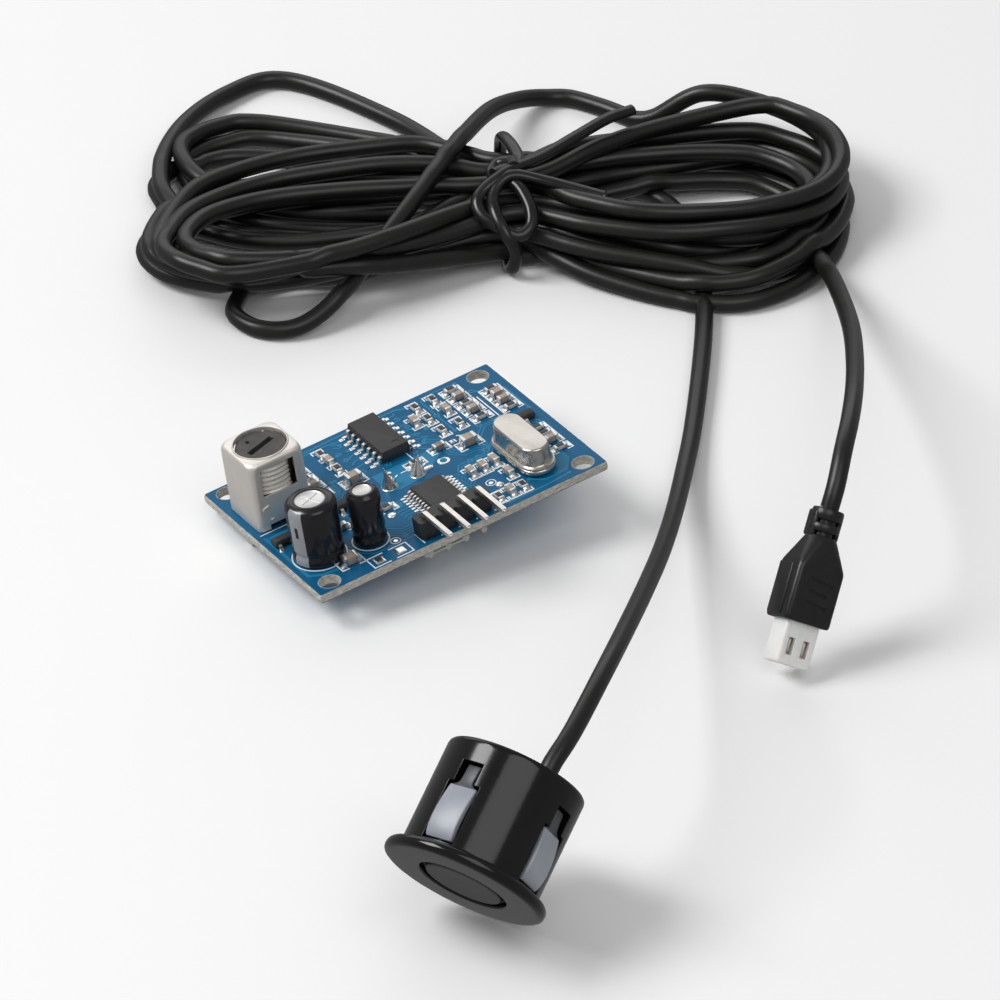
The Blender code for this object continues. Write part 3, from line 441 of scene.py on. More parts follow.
def waist_slots():
    """Places for the runs where the tie pinches them: near ones and far ones, bottom row first."""
    near, far = [], []
    for count, height in WAIST_ROWS:
        row = [(WAIST_MIDDLE + (index - (count - 1) / 2) * 2.4, height) for index in range(count)]
        half = (count + 1) // 2
        near += row[:half]
        far += row[:half - 1:-1]
    return near, far


def lobe(ends, level):
    """One end of a turn, from its furthest back point round its tip to its furthest forward one."""
    tip, back, front = ends
    points = []
    for (x, y), steps in ((back, (0, 1, 2, 3)), (front, (2, 1, 0))):
        for step in steps:
            turn = step * 30 * DEG
            points.append((x + (tip[0] - x) * math.sin(turn), tip[1] + (y - tip[1]) * math.cos(turn),
                level))
    return points


def between(waist, outer):
    """A point on the way from the waist to the start of a lobe."""
    share = 0.62
    return (waist[0] + 0.5 * (outer[0] - waist[0]), waist[1] + share * (outer[1] - waist[1]),
        waist[2] + share * (outer[2] - waist[2]))


def left_run(ends, level, far, near):
    """One turn's left half, from the far side of the waist to the near side."""
    far, near = (WAIST_X, *far), (WAIST_X, *near)
    round_tip = lobe(ends, level)
    return [far, between(far, round_tip[0]), *round_tip, between(near, round_tip[-1]), near]


def right_run(ends, level, near, far):
    """One turn's right half, from the near side of the waist to the far one, both left out."""
    round_tip = lobe(ends, level)[::-1]
    run = [between((WAIST_X, *near), round_tip[0]), *round_tip]
    return [*run, between((WAIST_X, *far), round_tip[-1])] if far else run


def wound_route():
    """The hank as it is wound, before it has settled: turns from the bottom up."""
    near, far = waist_slots()
    route = [(37.3, 88, 1.2), (36.2, 97, 1.2), (32.4, 104.6, 1.25), (25.5, 107.4, 1.6)]
    for index, (left, right) in enumerate(HANK_TURNS):
        level = 1.4 + 0.95 * index
        route += left_run(left, level, far[index], near[index + 1])
        following = far[index + 1] if index + 1 < len(HANK_TURNS) else None
        route += right_run(right, level + 1.2, near[index + 1], following)
    route += SLANTED_TURN
    route.append((WAIST_X, *near[-1]))
    right, left = TOP_TURN
    route += right_run(right, 11, near[-1], far[-1])
    route += left_run(left, 9.6, far[-1], near[0])
    route += [(25, 90.9, 1.4), (36, 90.9, 1.2), (44, 91.2, 1.2), (48.8, 90.7, 1.25), (51.8, 88.9, 1.5)]
    return route


def evened(shift):
    """Spreads each point's shift over its neighbours along the cord."""
    reach = np.pad(shift, ((4, 4), (0, 0)), "edge")
    weights = (4, 8, 12, 15, 16, 15, 12, 8, 4)
    return sum(weight * reach[start:start + len(shift)]
        for start, weight in enumerate(weights)) / sum(weights)


def parted(points, first, second, loose):
    """Pushes apart the points of strands that lie closer than the cord is wide."""
    line = points[second] - points[first]
    length = np.maximum(np.sqrt((line**2).sum(-1)), 1e-6)
    short = np.maximum(0, CORD_WIDE + 0.03 - length)
    push = line * (0.25 * short / length)[:, None]
    moved = np.zeros_like(points)
    np.add.at(moved, second, push)
    np.add.at(moved, first, -push)
    points[loose] += np.clip(moved[loose], -0.35, 0.35)


def settle(points, loose):
    """Lets the loose points sink and press on each other, each staying near where it was wound."""
    guide = points.copy()
    held = loose & (np.abs(points[:, 0] - WAIST_X) < 2.5) & (points[:, 1] < 112) & (points[:, 2] < 9)
    for turn in range(SETTLE_ROUNDS):
        late = turn > SETTLE_ROUNDS * 0.75
        if turn % 12 == 0:
            apart = ((points[:, None, :] - points[None, :, :]) ** 2).sum(-1)
            first, second = np.nonzero(apart < 14)
            keep = second - first > 5
            first, second = first[keep], second[keep]
        points[loose, 2] -= 0.01 if late else 0.045
        points[loose, :2] += (0.004 if late else 0.02) * (guide[loose, :2] - points[loose, :2])
        points[held] += 0.25 * (guide[held] - points[held])
        shift = points - guide
        blend = 0.35 if late else 0.7
        points[loose] += blend * (evened(shift)[loose] - shift[loose])
        if late:
            halfway = points.copy()
            halfway[1:-1] = (points[:-2] + points[2:]) / 2
            points[loose] += 0.12 * (halfway[loose] - points[loose])
        parted(points, first, second, loose)
        parted(points, first, second, loose)
        points[loose, 2] = np.maximum(points[loose, 2], CORD_WIDE / 2 + 0.02)
    return points


def make_cord():
    x, y, z = CORD_EXIT
    start = [PROBE @ (Vector(point) * MM) / MM for point in (CORD_EXIT, (x, y, z + 2.8))]
    end = [PLUG @ (Vector((0, 0, PLUG_LONG + past)) * MM) / MM for past in (3, 0.1)]
    between_ends = [Vector(point) for point in (*PROBE_ROUTE, *wound_route(), *reversed(PLUG_ROUTE))]
    points = np.array(smooth_route([*start, *between_ends, *end], 1.7))
    # The hank's strands settle; the two ends in front of it stay as they lie.
    loose = (points[:, 1] > 79) & ~((points[:, 0] > 52.9) & (points[:, 1] < 87))
    points = settle(points, loose)
    points = smooth_route([Vector(point) for point in points], 0.9)
    curve = bpy.data.curves.new("cord", "CURVE")
    curve.dimensions = "3D"
    curve.bevel_depth = CORD_WIDE / 2 * MM
    curve.bevel_resolution = 5
    curve.use_fill_caps = True
    spline = curve.splines.new("POLY")
    spline.points.add(len(points) - 1)
    for knot, point in zip(spline.points, points):
        knot.co = (*(point * MM), 1)
    spline.use_smooth = True
    curve.materials.append(LOOKS["jacket"])
    cord = add_object("cord", curve)
    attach(cord, "sensor")
    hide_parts("cord_probe_end", "cord_hank", "cord_plug_end")
    return cord, start[0] * MM


# The tie's two halves, each from its free end: the first loops round the knot, and the second goes
# into the knot, down the near side, under the waist and back over the far side.
TIE_LOOP = [(28.6, 110.8, 10.7), (25.4, 108.6, 10.8), (21.4, 104.6, 10.7), (16.7, 99.6, 10.7),
    (12.8, 96.4, 10.9), (10.8, 94.6, 10.4), (9.3, 93.4, 9.6), (8.6, 91.9, 8.8), (9.4, 90.2, 7.8),
    (11.6, 88.7, 7), (13.9, 88, 6.3), (15.4, 88.9, 7), (15.6, 90.6, 8.1), (14.8, 92.8, 9.2),
    (13.5, 94.8, 9.9), (11.6, 96.2, 9.6), (10.5, 97.8, 9.5), (11.3, 99.4, 9.9), (12.9, 98.6, 10.7),
    (13.2, 96.6, 11.2)]
TIE_RING = [(24.8, 92.3, 9.5), (20.4, 94, 9.8), (16.6, 95.2, 10.2), (13.4, 95.4, 10.8), (11.6, 94.6, 10.3),
    (10.6, 92.8, 9.2), (11, 90, 8.2), (12.3, 87.9, 6.6), (13.5, 87.4, 4.6), (13.4, 87.3, 2.6),
    (12.9, 88.5, 1), (12.5, 93.5, 0.82), (12.2, 99, 0.8), (12, 104.5, 0.82), (11.8, 109.2, 1),
    (11.6, 110.6, 3), (11.6, 110.3, 5.6), (11.8, 108.4, 8.2), (12.9, 105, 9.2), (13.9, 101, 9.5),
    (13.3, 98.4, 10), (12, 97, 10.6), (10.7, 95.8, 10.7)]


def make_tie():
    """A plastic-coated wire tied round the waist, with two free ends."""
    coat, wire = bmesh.new(), bmesh.new()
    for route in (TIE_LOOP, TIE_RING):
        line = smooth_route([Vector(point) for point in route], 0.5)
        add_tube(coat, line, [TIE_WIDE / 2] * len(line), 14, 0.8)
        end, before = Vector(route[0]), Vector(route[1])
        outward = (end - before).normalized()
        add_tube(wire, [end - outward, end + outward * 0.04, end + outward * 0.1], [0.26, 0.26, 0.16], 10)
    return (finish_piece("tie", coat, "tie", WORLD, replaces=["cord_tie"], angle=60),
        finish_piece("tie_wire", wire, "tin", WORLD))


# ---- board


def board_outline(height, inset=0, ragged=0):
    points = []
    half_x, half_y = BOARD_LONG / 2 - inset, BOARD_WIDE / 2 - inset
    corner = rounded(half_x, half_y, 0.25, height, 5, (BOARD_LONG / 2, BOARD_WIDE / 2))
    for index, point in enumerate(corner):
        after = corner[(index + 1) % len(corner)]
        steps = max(1, round(((after - point).length + 2 * inset) / 0.45))
        for step in range(steps):
            spot = point.lerp(after, step / steps)
            outward = Vector((spot.x - BOARD_LONG / 2, spot.y - BOARD_WIDE / 2, 0))
            points.append(spot + outward.normalized() * ragged * edge_noise.random())
    return points


def make_board():
    thick = BOARD_THICK
    sections = [(-thick + 0.03, 0.14), (-thick + 0.12, 0.05, 0.05), (-0.75, 0.03, 0.09),
        (-0.45, 0.03, 0.09), (-0.12, 0.05, 0.05), (-0.03, 0.12)]
    shape = add_rings(bmesh.new(), [board_outline(*section) for section in sections])
    pieces = [finish_piece("board_core", shape, "laminate", replaces=["circuit_board"], angle=50)]
    for name, low in (("mask_top", -0.035), ("mask_bottom", -thick)):
        shape = add_rings(bmesh.new(), [board_outline(low, 0.1), board_outline(low + 0.035, 0.12)])
        pieces.append(finish_piece(name, shape, "mask"))
    for piece, radius in zip(pieces, (1.4, 1.45, 1.45)):
        drills = bmesh.new()
        for spot in MOUNT_HOLES:
            add_turned(drills, [(radius, -3), (radius, 2)], 48, spot)
        cut_out(piece, drills, BOARD)
    shape = bmesh.new()
    ring = [(1.35, -thick), (1.35, 0), (1.38, 0.02), (1.44, 0.015), (1.45, -0.03), (1.41, -0.04),
        (1.41, -thick + 0.04), (1.45, -thick + 0.03), (1.44, -thick - 0.015)]
    for spot in MOUNT_HOLES:
        add_turned(shape, ring, 48, spot, closed=True)
    finish_piece("hole_rims", shape, "laminate")


# Bundles of tracks: path of the first, how many run side by side, and their width.
TRACK_BUNDLES = [([(17.2, 5.2), (14.6, 5.2), (12.9, 6.9), (12.9, 8.4)], 4, 0.22),
    ([(17.4, 9.9), (15.8, 11.5), (12, 11.5), (9.3, 14.2), (9.3, 15.6)], 2, 0.25),
    ([(9.6, 15.9), (12.4, 15.9), (13.6, 17.1), (13.6, 19.6)], 2, 0.25),
    ([(12.8, 26.9), (16.9, 26.9), (18, 25.8)], 1, 0.3),
    ([(9.4, 27.3), (19, 27.6), (27, 27.6), (28.3, 26.9)], 1, 0.35),
    ([(16.6, 20), (17.6, 19), (24.5, 19), (26.6, 16.9)], 1, 0.25), ([(16.6, 24), (18.2, 24)], 1, 0.3),
    ([(26, 19), (27.2, 17.8), (27.2, 14.6), (28.6, 13.2), (30.2, 13.2), (31.2, 12.2)], 3, 0.2),
    ([(25.3, 4.9), (26, 5.3), (26, 8.9), (27.3, 11), (30.9, 11), (32.6, 12.7)], 3, 0.2),
    ([(32, 13.4), (32, 15.2), (33.6, 16.8), (35.2, 16.8)], 2, 0.22),
    ([(36.9, 5.2), (39.4, 7.7), (39.4, 13.4), (38.6, 14.2)], 2, 0.22),
    ([(31.8, 3.4), (33.2, 2), (36, 2)], 3, 0.35), ([(36.6, 24.2), (39.9, 22.4), (39.9, 16.5)], 1, 0.3),
    ([(26.2, 25.9), (27.9, 25.2), (27.9, 21.4)], 1, 0.22),
    ([(30.4, 18.6), (30.4, 26.9), (32.2, 27.6), (35.6, 27.4)], 1, 0.25),
    ([(1, 14.8), (1, 4.6), (2.4, 3.6), (4.4, 3.4)], 1, 0.45), ([(8, 4.6), (9.6, 3), (15.4, 3)], 1, 0.3),
    ([(12.8, 9.6), (9.6, 9.6), (8.4, 10.8), (7.4, 12.4), (3.6, 13.6)], 1, 0.28),
    ([(26.6, 3.2), (27.2, 0.9), (33, 0.9), (36.2, 1.2)], 1, 0.3)]
POURS = [([(10.4, 16.6), (12.9, 16.6), (12.9, 19), (10.4, 19)]),
    ([(17.5, 13.2), (17.5, 17.2), (25.6, 17.2), (26.8, 15.8), (22.6, 12.9), (19, 12.4)]),
    ([(33, 2.8), (36.4, 1.8), (38, 4), (38, 6.2), (36.6, 5.6), (34.4, 3.8)]),
    ([(1.4, 12.6), (1.4, 14.9), (8.8, 14.9), (8.8, 12.9), (6, 11.6)])]
VIAS = [(14.3, 3.7), (17, 22.5), (28.4, 11.8), (29.6, 11.8), (31, 12.5), (36.3, 24.5), (30.4, 23),
    (13.9, 12.6), (9, 11.9), (26.4, 21.2), (26.4, 23.4), (33.2, 17.6), (24.3, 18.1), (8, 26.8),
    (20.5, 18.1)]


def make_tracks():
    shape, hole_shade, sunk = bmesh.new(), bmesh.new(), -0.005

    def track(points, width):
        add_strip(shape, points, width, TRACK_HIGH, sunk)

    for points, count, width in TRACK_BUNDLES:
        for copy in range(count):
            line = mitred(points, copy * (width + 0.25))
            track(line, width)
            for end in (line[0], line[-1]):
                add_turned(shape, [(0.3, sunk), (0.3, 0.026), (0.26, TRACK_HIGH)], 14, end)
    for outline in POURS:
        add_prism(shape, outline, sunk, 0.022)
    for side in (-1, 1):
        for count in range(7):
            x = AMPLIFIER_AT[0] + side * 3.9
            y = AMPLIFIER_AT[1] + (count - 3) * 1.27
            reach = side * (0.7 + 0.35 * (count * 2 % 3))
            bend = 0.5 if count > 3 else -0.5
            track([(x - side * 0.5, y), (x + reach * 0.5, y), (x + reach, y + bend)], 0.26)
        for count in range(10):
            x = CONTROLLER_AT[0] + side * 3.9
            y = CONTROLLER_AT[1] + (count - 4.5) * 0.65
            reach = side * (0.5 + 0.12 * count)
            track([(x - side * 0.5, y), (x + reach, y), (x + 1.4 * reach, y + side * 0.3)], 0.2)
    for spot in VIAS:
        add_turned(shape, [(0.42, sunk), (0.42, 0.022), (0.34, TRACK_HIGH)], 16, spot)
        # A black disc on each via, painted as the shade inside its hole.
        add_turned(hole_shade, [(0.14, 0), (0.14, 0.034)], 12, spot)
    finish_piece("board_tracks", shape, "track")
    finish_piece("via_hole_painted_shade", hole_shade, "resin")


# Small parts in columns: x, the axis that the parts lie along, and each one's kind and y.
SMALL_PARTS = [(11, "x", "rcrcr", [25.9, 24, 22.1, 20.2, 18.2]), (15.1, "y", "rcr", [25.4, 23.4, 21.4]),
    (15.4, "x", "r", [10.1]), (9, "x", "d", [10.2]), (29.1, "y", "rrr", [26, 22.9, 19.6]),
    (27.4, "y", "c", [23.4]), (31.6, "y", "r", [26]), (31.8, "y", "c", [23]), (31.6, "y", "r", [19.6]),
    (34.4, "x", "rcrcr", [26.2, 24.3, 22.5, 20.7, 18.8]), (38.3, "x", "rccr", [23, 21.4, 19.9, 18.2]),
    (38.2, "x", "rrcr", [11.9, 10.2, 8.4, 6.4]), (26.9, "x", "d", [16.6]), (23, "x", "r", [15.9]),
    (27.1, "y", "c", [9.3]), (28.8, "y", "c", [9.3]), (30.5, "y", "c", [9.5]), (30.6, "y", "c", [6.1]),
    (28.7, "y", "c", [2.6]), (30.4, "y", "r", [2.6]), (27, "y", "r", [2.6]), (15.4, "x", "b", [18]),
    (6.35, "x", "b", [3.45]), (30.3, "x", "b", [15])]


# Kinds of small part (resistor, ceramic, dark and big ceramic): body, length, width, height, and
# the length of a plated end.
PART_KINDS = {"r": ("alumina", 1.6, 0.8, 0.5, 0.34), "c": ("tan", 1.6, 0.85, 0.85, 0.34),
    "d": ("grey_ceramic", 1.6, 0.85, 0.8, 0.34), "b": ("tan", 2, 1.25, 1.15, 0.45)}


def add_chip_part(shapes, kind, axis, x, y):
    """One resistor or capacitor: body, two plated ends, and the solder that climbs them."""
    body, long, wide, high, end = PART_KINDS[kind]
    turn = (0 if axis == "x" else math.pi / 2) + rng.uniform(-0.035, 0.035)
    x += rng.uniform(-0.05, 0.05)
    y += rng.uniform(-0.05, 0.05)
    turned = Matrix.Rotation(turn, 4, "Z")
    ahead = Vector((math.cos(turn), math.sin(turn), 0))
    middle = Vector((x, y, 0.05 + high / 2))
    add_block(shapes[body], (long - 2 * end, wide * 0.97, high * 0.96), middle, 0.03, turned, 2)
    if kind == "r":
        add_block(shapes["resistor"], (long - 2 * end + 0.04, wide * 0.86, 0.07),
            middle + Vector((0, 0, high / 2)), 0.03, turned, 2)
    for side in (-1, 1):
        cap = middle + ahead * side * (long - end) / 2
        add_block(shapes["tin"], (end, wide, high), cap, 0.07, turned)
        foot = middle + ahead * side * (long / 2 + 0.12)
        add_fillet(shapes["solder"], foot, ahead * side, wide * 1.02, high * rng.uniform(0.62, 0.8))


def add_fillet(shape, at, outward, width, high):
    """A concave wedge of solder with its high side against a part and its foot on the pad."""
    across = Vector((-outward.y, outward.x, 0))
    profile = [(-0.16, high), (-0.08, high * 0.72), (0.02, high * 0.42), (0.16, high * 0.2), (0.32, 0.06),
        (0.38, 0), (-0.16, 0)]
    rings = []
    for side, squeeze in ((-0.5, 0.55), (-0.4, 0.95), (0, 1.05), (0.4, 0.95), (0.5, 0.55)):
        spot = Vector((at.x, at.y, 0.01)) + across * width * side * 1.08
        rings.append([spot + outward * reach * squeeze + Vector((0, 0, z * squeeze))
            for reach, z in profile])
    add_rings(shape, rings)


def add_bracket(shape, x, y, long, wide, axis):
    """A white outline in two halves, open in the middle of its long sides."""
    for side in (-1, 1):
        path = [(side * share * long, v * wide)
            for share, v in ((0.22, -0.5), (0.5, -0.5), (0.5, 0.5), (0.22, 0.5))]
        line = [(x + u, y + v) if axis == "x" else (x + v, y + u) for u, v in path]
        add_strip(shape, line, 0.17)


# Pieces that the small parts make up: a key, the piece's name and its material.
PART_PIECES = [("alumina", "resistor_bodies", "alumina"), ("tan", "ceramic_bodies", "tan"),
    ("grey_ceramic", "dark_ceramic_bodies", "grey_ceramic"), ("resistor", "resistor_films", "resistor"),
    ("tin", "part_ends", "tin"), ("solder", "part_solder", "solder"), ("pads", "part_pads", "solder")]


def make_small_parts(silk):
    """The small parts, and their white outlines on the silk shape."""
    shapes = {row[0]: bmesh.new() for row in PART_PIECES}
    parts = [(kind, axis, x, y) for x, axis, kinds, column in SMALL_PARTS for kind, y in zip(kinds, column)]
    for kind, axis, x, y in parts:
        add_chip_part(shapes, kind, axis, x, y)
        long, wide, reach = (3.3, 1.9, 1.15) if kind == "b" else (2.75, 1.45, 0.95)
        add_bracket(silk, x, y, long, wide, axis)
        for side in (-reach, reach):
            pad = [(0.8, wide * 0.64, 0.035), (x + side, y, 0.02)]
            if axis == "y":
                pad = [(wide * 0.64, 0.8, 0.035), (x, y + side, 0.02)]
            add_block(shapes["pads"], *pad, 0.012, segments=1)
    for key, name, look in PART_PIECES:
        nodes = [f"ceramic_capacitor_{count}" for count in (1, 2, 3)] if key == "tan" else []
        finish_piece(name, shapes[key], look, replaces=nodes)


# White lines that aren't round a small part: width and path, then rings: centre, radius, width.
SILK_LINES = [(0.16, [(15.26, 0.7), (15.26, 3.1)]), (0.16, [(0.8, 15.8), (9, 15.8)]),
    (0.16, [(36.2, 23), (36.2, 17.6)]), (0.16, [(29.9, 17.6), (32, 15.9), (32, 14.2)]),
    (0.14, [(7.2, 5.5), (7.9, 5.5)]), (0.14, [(7.55, 5.15), (7.55, 5.85)]),
    (0.17, [(10.3, 0.35), (8, 0.35), (8, 2.55), (10.3, 2.55)]),
    (0.17, [(11.1, 0.35), (13.5, 0.35), (13.5, 2.55), (11.1, 2.55)])]
SILK_RINGS = [(BIG_CAP["at"], 3.38, 0.17), (SMALL_CAP["at"], 2.28, 0.17), ((12.8, 3.6), 0.62, 0.12),
    ((27.9, 6), 0.62, 0.12)]


def make_outlines(shape):
    """The white lines that aren't round a small part, and the bare pads."""
    for width, path in SILK_LINES:
        add_strip(shape, path, width)
    for x in (17.7, 20.2, 22.7, 25.3):
        add_turned(shape, [(0.14, 0), (0.14, SILK_HIGH)], 6, (x, 0.7))
    line = [point.xy for point in rounded(1.35, 2.9, 0.05, 0, 2, (22, 18.3))]
    add_strip(shape, line[4:] + line[:1], 0.15)
    for ring in SILK_RINGS:
        add_ring(shape, *ring, SILK_HIGH)
    finish_piece("board_outlines", shape, "silk")
    shape = bmesh.new()
    for x, y, wide, deep in ((9.2, 1.45, 1.3, 1.4), (12.2, 1.45, 1.3, 1.4), (29, 16.8, 0.8, 0.8),
            (30.9, 16.8, 0.8, 0.8)):
        add_rings(shape, [rounded(wide / 2 - cut, deep / 2 - cut, 0.12, z, 4, (x, y))
            for cut, z in ((0, 0), (0, 0.05), (0.12, 0.12), (0.35, 0.15))])
    for x, y, radius, high in ((15.2, 8.5, 0.6, 0.22), (28.5, 4.9, 0.55, 0.3), (26, 14.1, 0.8, 0.05),
            (12.8, 3.6, 0.32, 0.04), (27.9, 6, 0.32, 0.04)):
        add_dome(shape, (x, y), radius, high)
    add_rings(shape, [rounded(0.85 - cut, 0.42 - cut, 0.4 - cut, z, 8, (23.6, 14.1))
        for cut, z in ((0, 0), (0, 0.04), (0.2, 0.14))])
    finish_piece("bare_pads", shape, "solder")
    finish_piece("test_pad_centre", add_dome(bmesh.new(), (26, 14.1), 0.5, 0.12), "track")


def add_ring(shape, centre, radius, width, high):
    inner, outer = radius - width / 2, radius + width / 2
    add_turned(shape, [(inner, 0), (outer, 0), (outer, high), (inner, high)], 56, centre, closed=True)


def add_dome(shape, centre, radius, high):
    profile = [(1, 0), (0.97, 0.3), (0.8, 0.72), (0.5, 0.93), (0.12, 1)]
    return add_turned(shape, [(radius * r, high * z) for r, z in profile], 24, centre)


def along(route, index):
    """The direction of a route of pairs at one of its points."""
    before, after = route[max(index - 1, 0)], route[min(index + 1, len(route) - 1)]
    return Vector((after[0] - before[0], after[1] - before[1])).normalized()


def gull_lead(shape, y, side, body_half, reach, high, width, thick):
    """A bent lead from the body's side down to a foot, its corners rounded by extra points."""
    middle, foot = high * PARTING, 0.06
    shoulder, knee = body_half + 0.3, body_half + 0.46
    route = [(body_half - 0.2, middle), (shoulder - 0.12, middle), (shoulder, middle - 0.03),
        (shoulder + 0.06, middle - 0.12), (knee - 0.04, foot + thick), (knee + 0.03, foot + 0.06),
        (knee + 0.14, foot + thick / 2), (reach, foot + thick / 2)]
    rings = []
    for index, (x, z) in enumerate(route):
        ahead = along(route, index)
        up = Vector((-ahead.y, ahead.x)) * thick / 2
        rings.append([Vector((side * (x + up.x * share), y + across * width, z + up.y * share))
            for share, across in ((1, 0.45), (0.6, 0.5), (-1, 0.5), (-1, -0.5), (0.6, -0.5), (1, -0.45))])
    add_rings(shape, rings)


def moulded_body(wide, long, high):
    """A chip's body: a belt at the parting line and sides that lean in above and below it."""
    middle = high * PARTING
    sections = [(0.08, 0.12), (middle - 0.03, 0), (middle + 0.03, 0), (high - 0.05, 0.108), (high, 0.17)]
    return add_rings(bmesh.new(), [rounded(wide / 2 - cut, long / 2 - cut, 0.06, z, 3)
        for z, cut in sections])


def both_sides(ways, pitch):
    return [(side, (count - (ways - 1) / 2) * pitch) for side in (-1, 1) for count in range(ways)]


def make_chip(name, where, size, spots, lead, joint, pad, dot=None):
    """A chip or transistor: its body, bent leads at the spots (side, y), their solder and pads."""
    wide, high = size[0], size[2]
    reach, width, thick = lead
    body = finish_piece(f"{name}_body", moulded_body(*size), "epoxy", where, replaces=[name])
    if dot:
        x, y, radius = dot
        cut_out(body, add_turned(bmesh.new(), [(radius, high - 0.06), (radius, high + 0.5)], 28, (x, y)),
            where)
        smooth(body.data, 40)
    leads, solder = bmesh.new(), bmesh.new()
    for side, y in spots:
        gull_lead(leads, y, side, wide / 2, reach, high, width, thick)
        add_fillet(solder, Vector((side * (reach - 0.05), y, 0)), Vector((side, 0, 0)), *joint)
        add_block(solder, (pad[0], pad[1], 0.05), (side * pad[2], y, 0.02), 0.015, segments=1)
    finish_piece(f"{name}_leads", leads, "tin", where)
    finish_piece(f"{name}_solder", solder, "solder", where)


def make_chips():
    make_chip("amplifier_chip", on_board(AMPLIFIER_AT), (3.9, 8.65, 1.65), both_sides(7, 1.27),
        (3.05, 0.46, 0.2), (0.529, 0.16), (1.3, 0.552, 2.9), (0.6, -3.35, 0.5))
    make_chip("controller_chip", on_board(CONTROLLER_AT), (4.4, 6.5, 1.1), both_sides(10, 0.65),
        (3.2, 0.29, 0.2), (0.3335, 0.16), (1.3, 0.348, 3.05))
    for count, (x, y, turn) in enumerate([(37.9, 14.6, -90), (2.3, 12.6, 90), (10.9, 13.9, -90)], 1):
        make_chip(f"transistor_{count}", on_board((x, y)) @ spin(turn), (1.3, 2.9, 1.05),
            [(1, 0), (-1, -0.95), (-1, 0.95)], (1.2, 0.42, 0.13), (0.55, 0.26), (0.9, 0.75, 1.15))


# ---- coil


def make_coil():
    where = on_board(COIL_AT)
    half = 3.85
    section = [(0.1, 0, 0.75), (3, 0, 0.75), (6, 0, 0.78), (8.6, 0, 0.9), (9.15, 0.01, 1.05),
        (9.42, 0.06, 1.2), (9.6, 0.17, 1.4), (9.68, 0.3, 1.6), (9.71, 0.33, 3.5), (9.83, 0.36, 3.48),
        (9.9, 0.42, 3.43), (9.9, 0.48, 3.37), (9.84, 0.53, 3.32), (9.3, 0.53, 3.32), (8.95, 0.4, 2.2),
        (8.6, 0.3, 0.8), (0.1, 0.3, 0.5)]
    shape = add_rings(bmesh.new(), [rounded(half - cut, half - cut, min(radius, half - cut), z, 14)
        for z, cut, radius in section], closed=True)
    can = finish_piece("coil_can", shape, "nickel", where, replaces=["coil_shield_can"], angle=35)
    cut = bmesh.new()
    for side in (-1, 1):
        add_block(cut, (4.8, 1, 3.95), (side * 0.1, side * half, 6.77), 0.12)
    add_block(cut, (2.4, 1, 1.5), (-1.1, -half, 0))
    cut_out(can, cut, where)
    smooth(can.data, 35)
    soften(can, 0.05, 2, 50)
    shape = bmesh.new()
    for facing in (-90, 90):
        add_thread_strip(shape, facing)
    finish_piece("coil_thread", shape, "nickel", where, angle=35)
    shape = bmesh.new()
    for x, z, wide, high, turn in ((-2.5, 3.3, 1.2, 0.5, 18), (-1.9, 1.4, 0.6, 0.4, 0)):
        dent = Matrix.Translation((x, -half, z)) @ spin(90, "X") @ spin(turn)
        add_rings(shape, [[dent @ point
            for point in rounded(wide / 2 * grow, high / 2 * grow, high / 2 * grow, level, 6)]
            for level, grow in ((-0.1, 1), (0.06, 0.95), (0.14, 0.7), (0.16, 0.35))])
    finish_piece("coil_can_dimples", shape, "nickel", where, angle=60)
    make_core(where)
    shape = bmesh.new()
    for side in (-1, 1):
        add_block(shape, (0.22, 1.2, 4.4), (side * 3.7, 0, -1.3), 0.05)
    finish_piece("coil_can_lugs", shape, "nickel", where)


def add_thread_strip(shape, facing):
    """The strip of can wall pressed inwards behind a window and ribbed to guide the core."""
    profile = [(3.3, 4.55), (3.62, 4.55), (3.7, 4.75)]
    for rib in range(5):
        for step in range(7):
            share = step / 6 - 0.5
            profile.append((3.54 + 0.08 * math.cos(share * 2 * math.pi), 5.25 + 0.66 * (rib + share)))
    profile += [(3.66, 8.7), (3.66, 8.95), (3.34, 8.95)]
    steps = 30
    rings = []
    for step in range(steps + 1):
        angle = (facing - 44 + 76 * step / steps) * DEG
        blend = 1 if step < steps else 0.97
        rings.append([Vector((radius * blend * math.cos(angle), radius * blend * math.sin(angle), z))
            for radius, z in profile])
    add_rings(shape, rings)


def make_core(where):
    turned = where @ spin(18)
    profile = [(0.01, 7.6), (2.5, 7.6), (2.5, 4.7), (3.05, 4.7)]
    for rib in range(7):
        z = 5 + 0.6 * rib
        profile += [(3.2, z), (3.2, z + 0.28), (3.1, z + 0.36), (3.1, z + 0.5)]
    profile += [(3.2, 9.22), (3.17, 9.33), (3.08, 9.4), (0.01, 9.4)]
    core = finish_piece("core", add_turned(bmesh.new(), profile, 64), "ferrite", turned, "core",
        replaces=["tuning_core"])
    cut = add_block(bmesh.new(), (4.1, 0.85, 2.4), (0, 0, 9.4), 0.06)
    cut_out(core, add_turned(cut, [(0.24, 8.8), (0.24, 10)], 16, (-0.3, 1.9)), turned)
    soften(core, 0.04, 2)
    ring = [(0.26, 9.38), (0.36, 9.38), (0.31 + 0.1 / 3, 9.44), (0.31 - 0.1 / 3, 9.44)]
    finish_piece("core_pip", add_turned(bmesh.new(), ring, 24, (-0.3, 1.9), closed=True), "ferrite", turned,
        "core")


# ---- capacitors and crystal


def shifted(pairs, x, z=0):
    return [(x + u, z + v) for u, v in pairs]


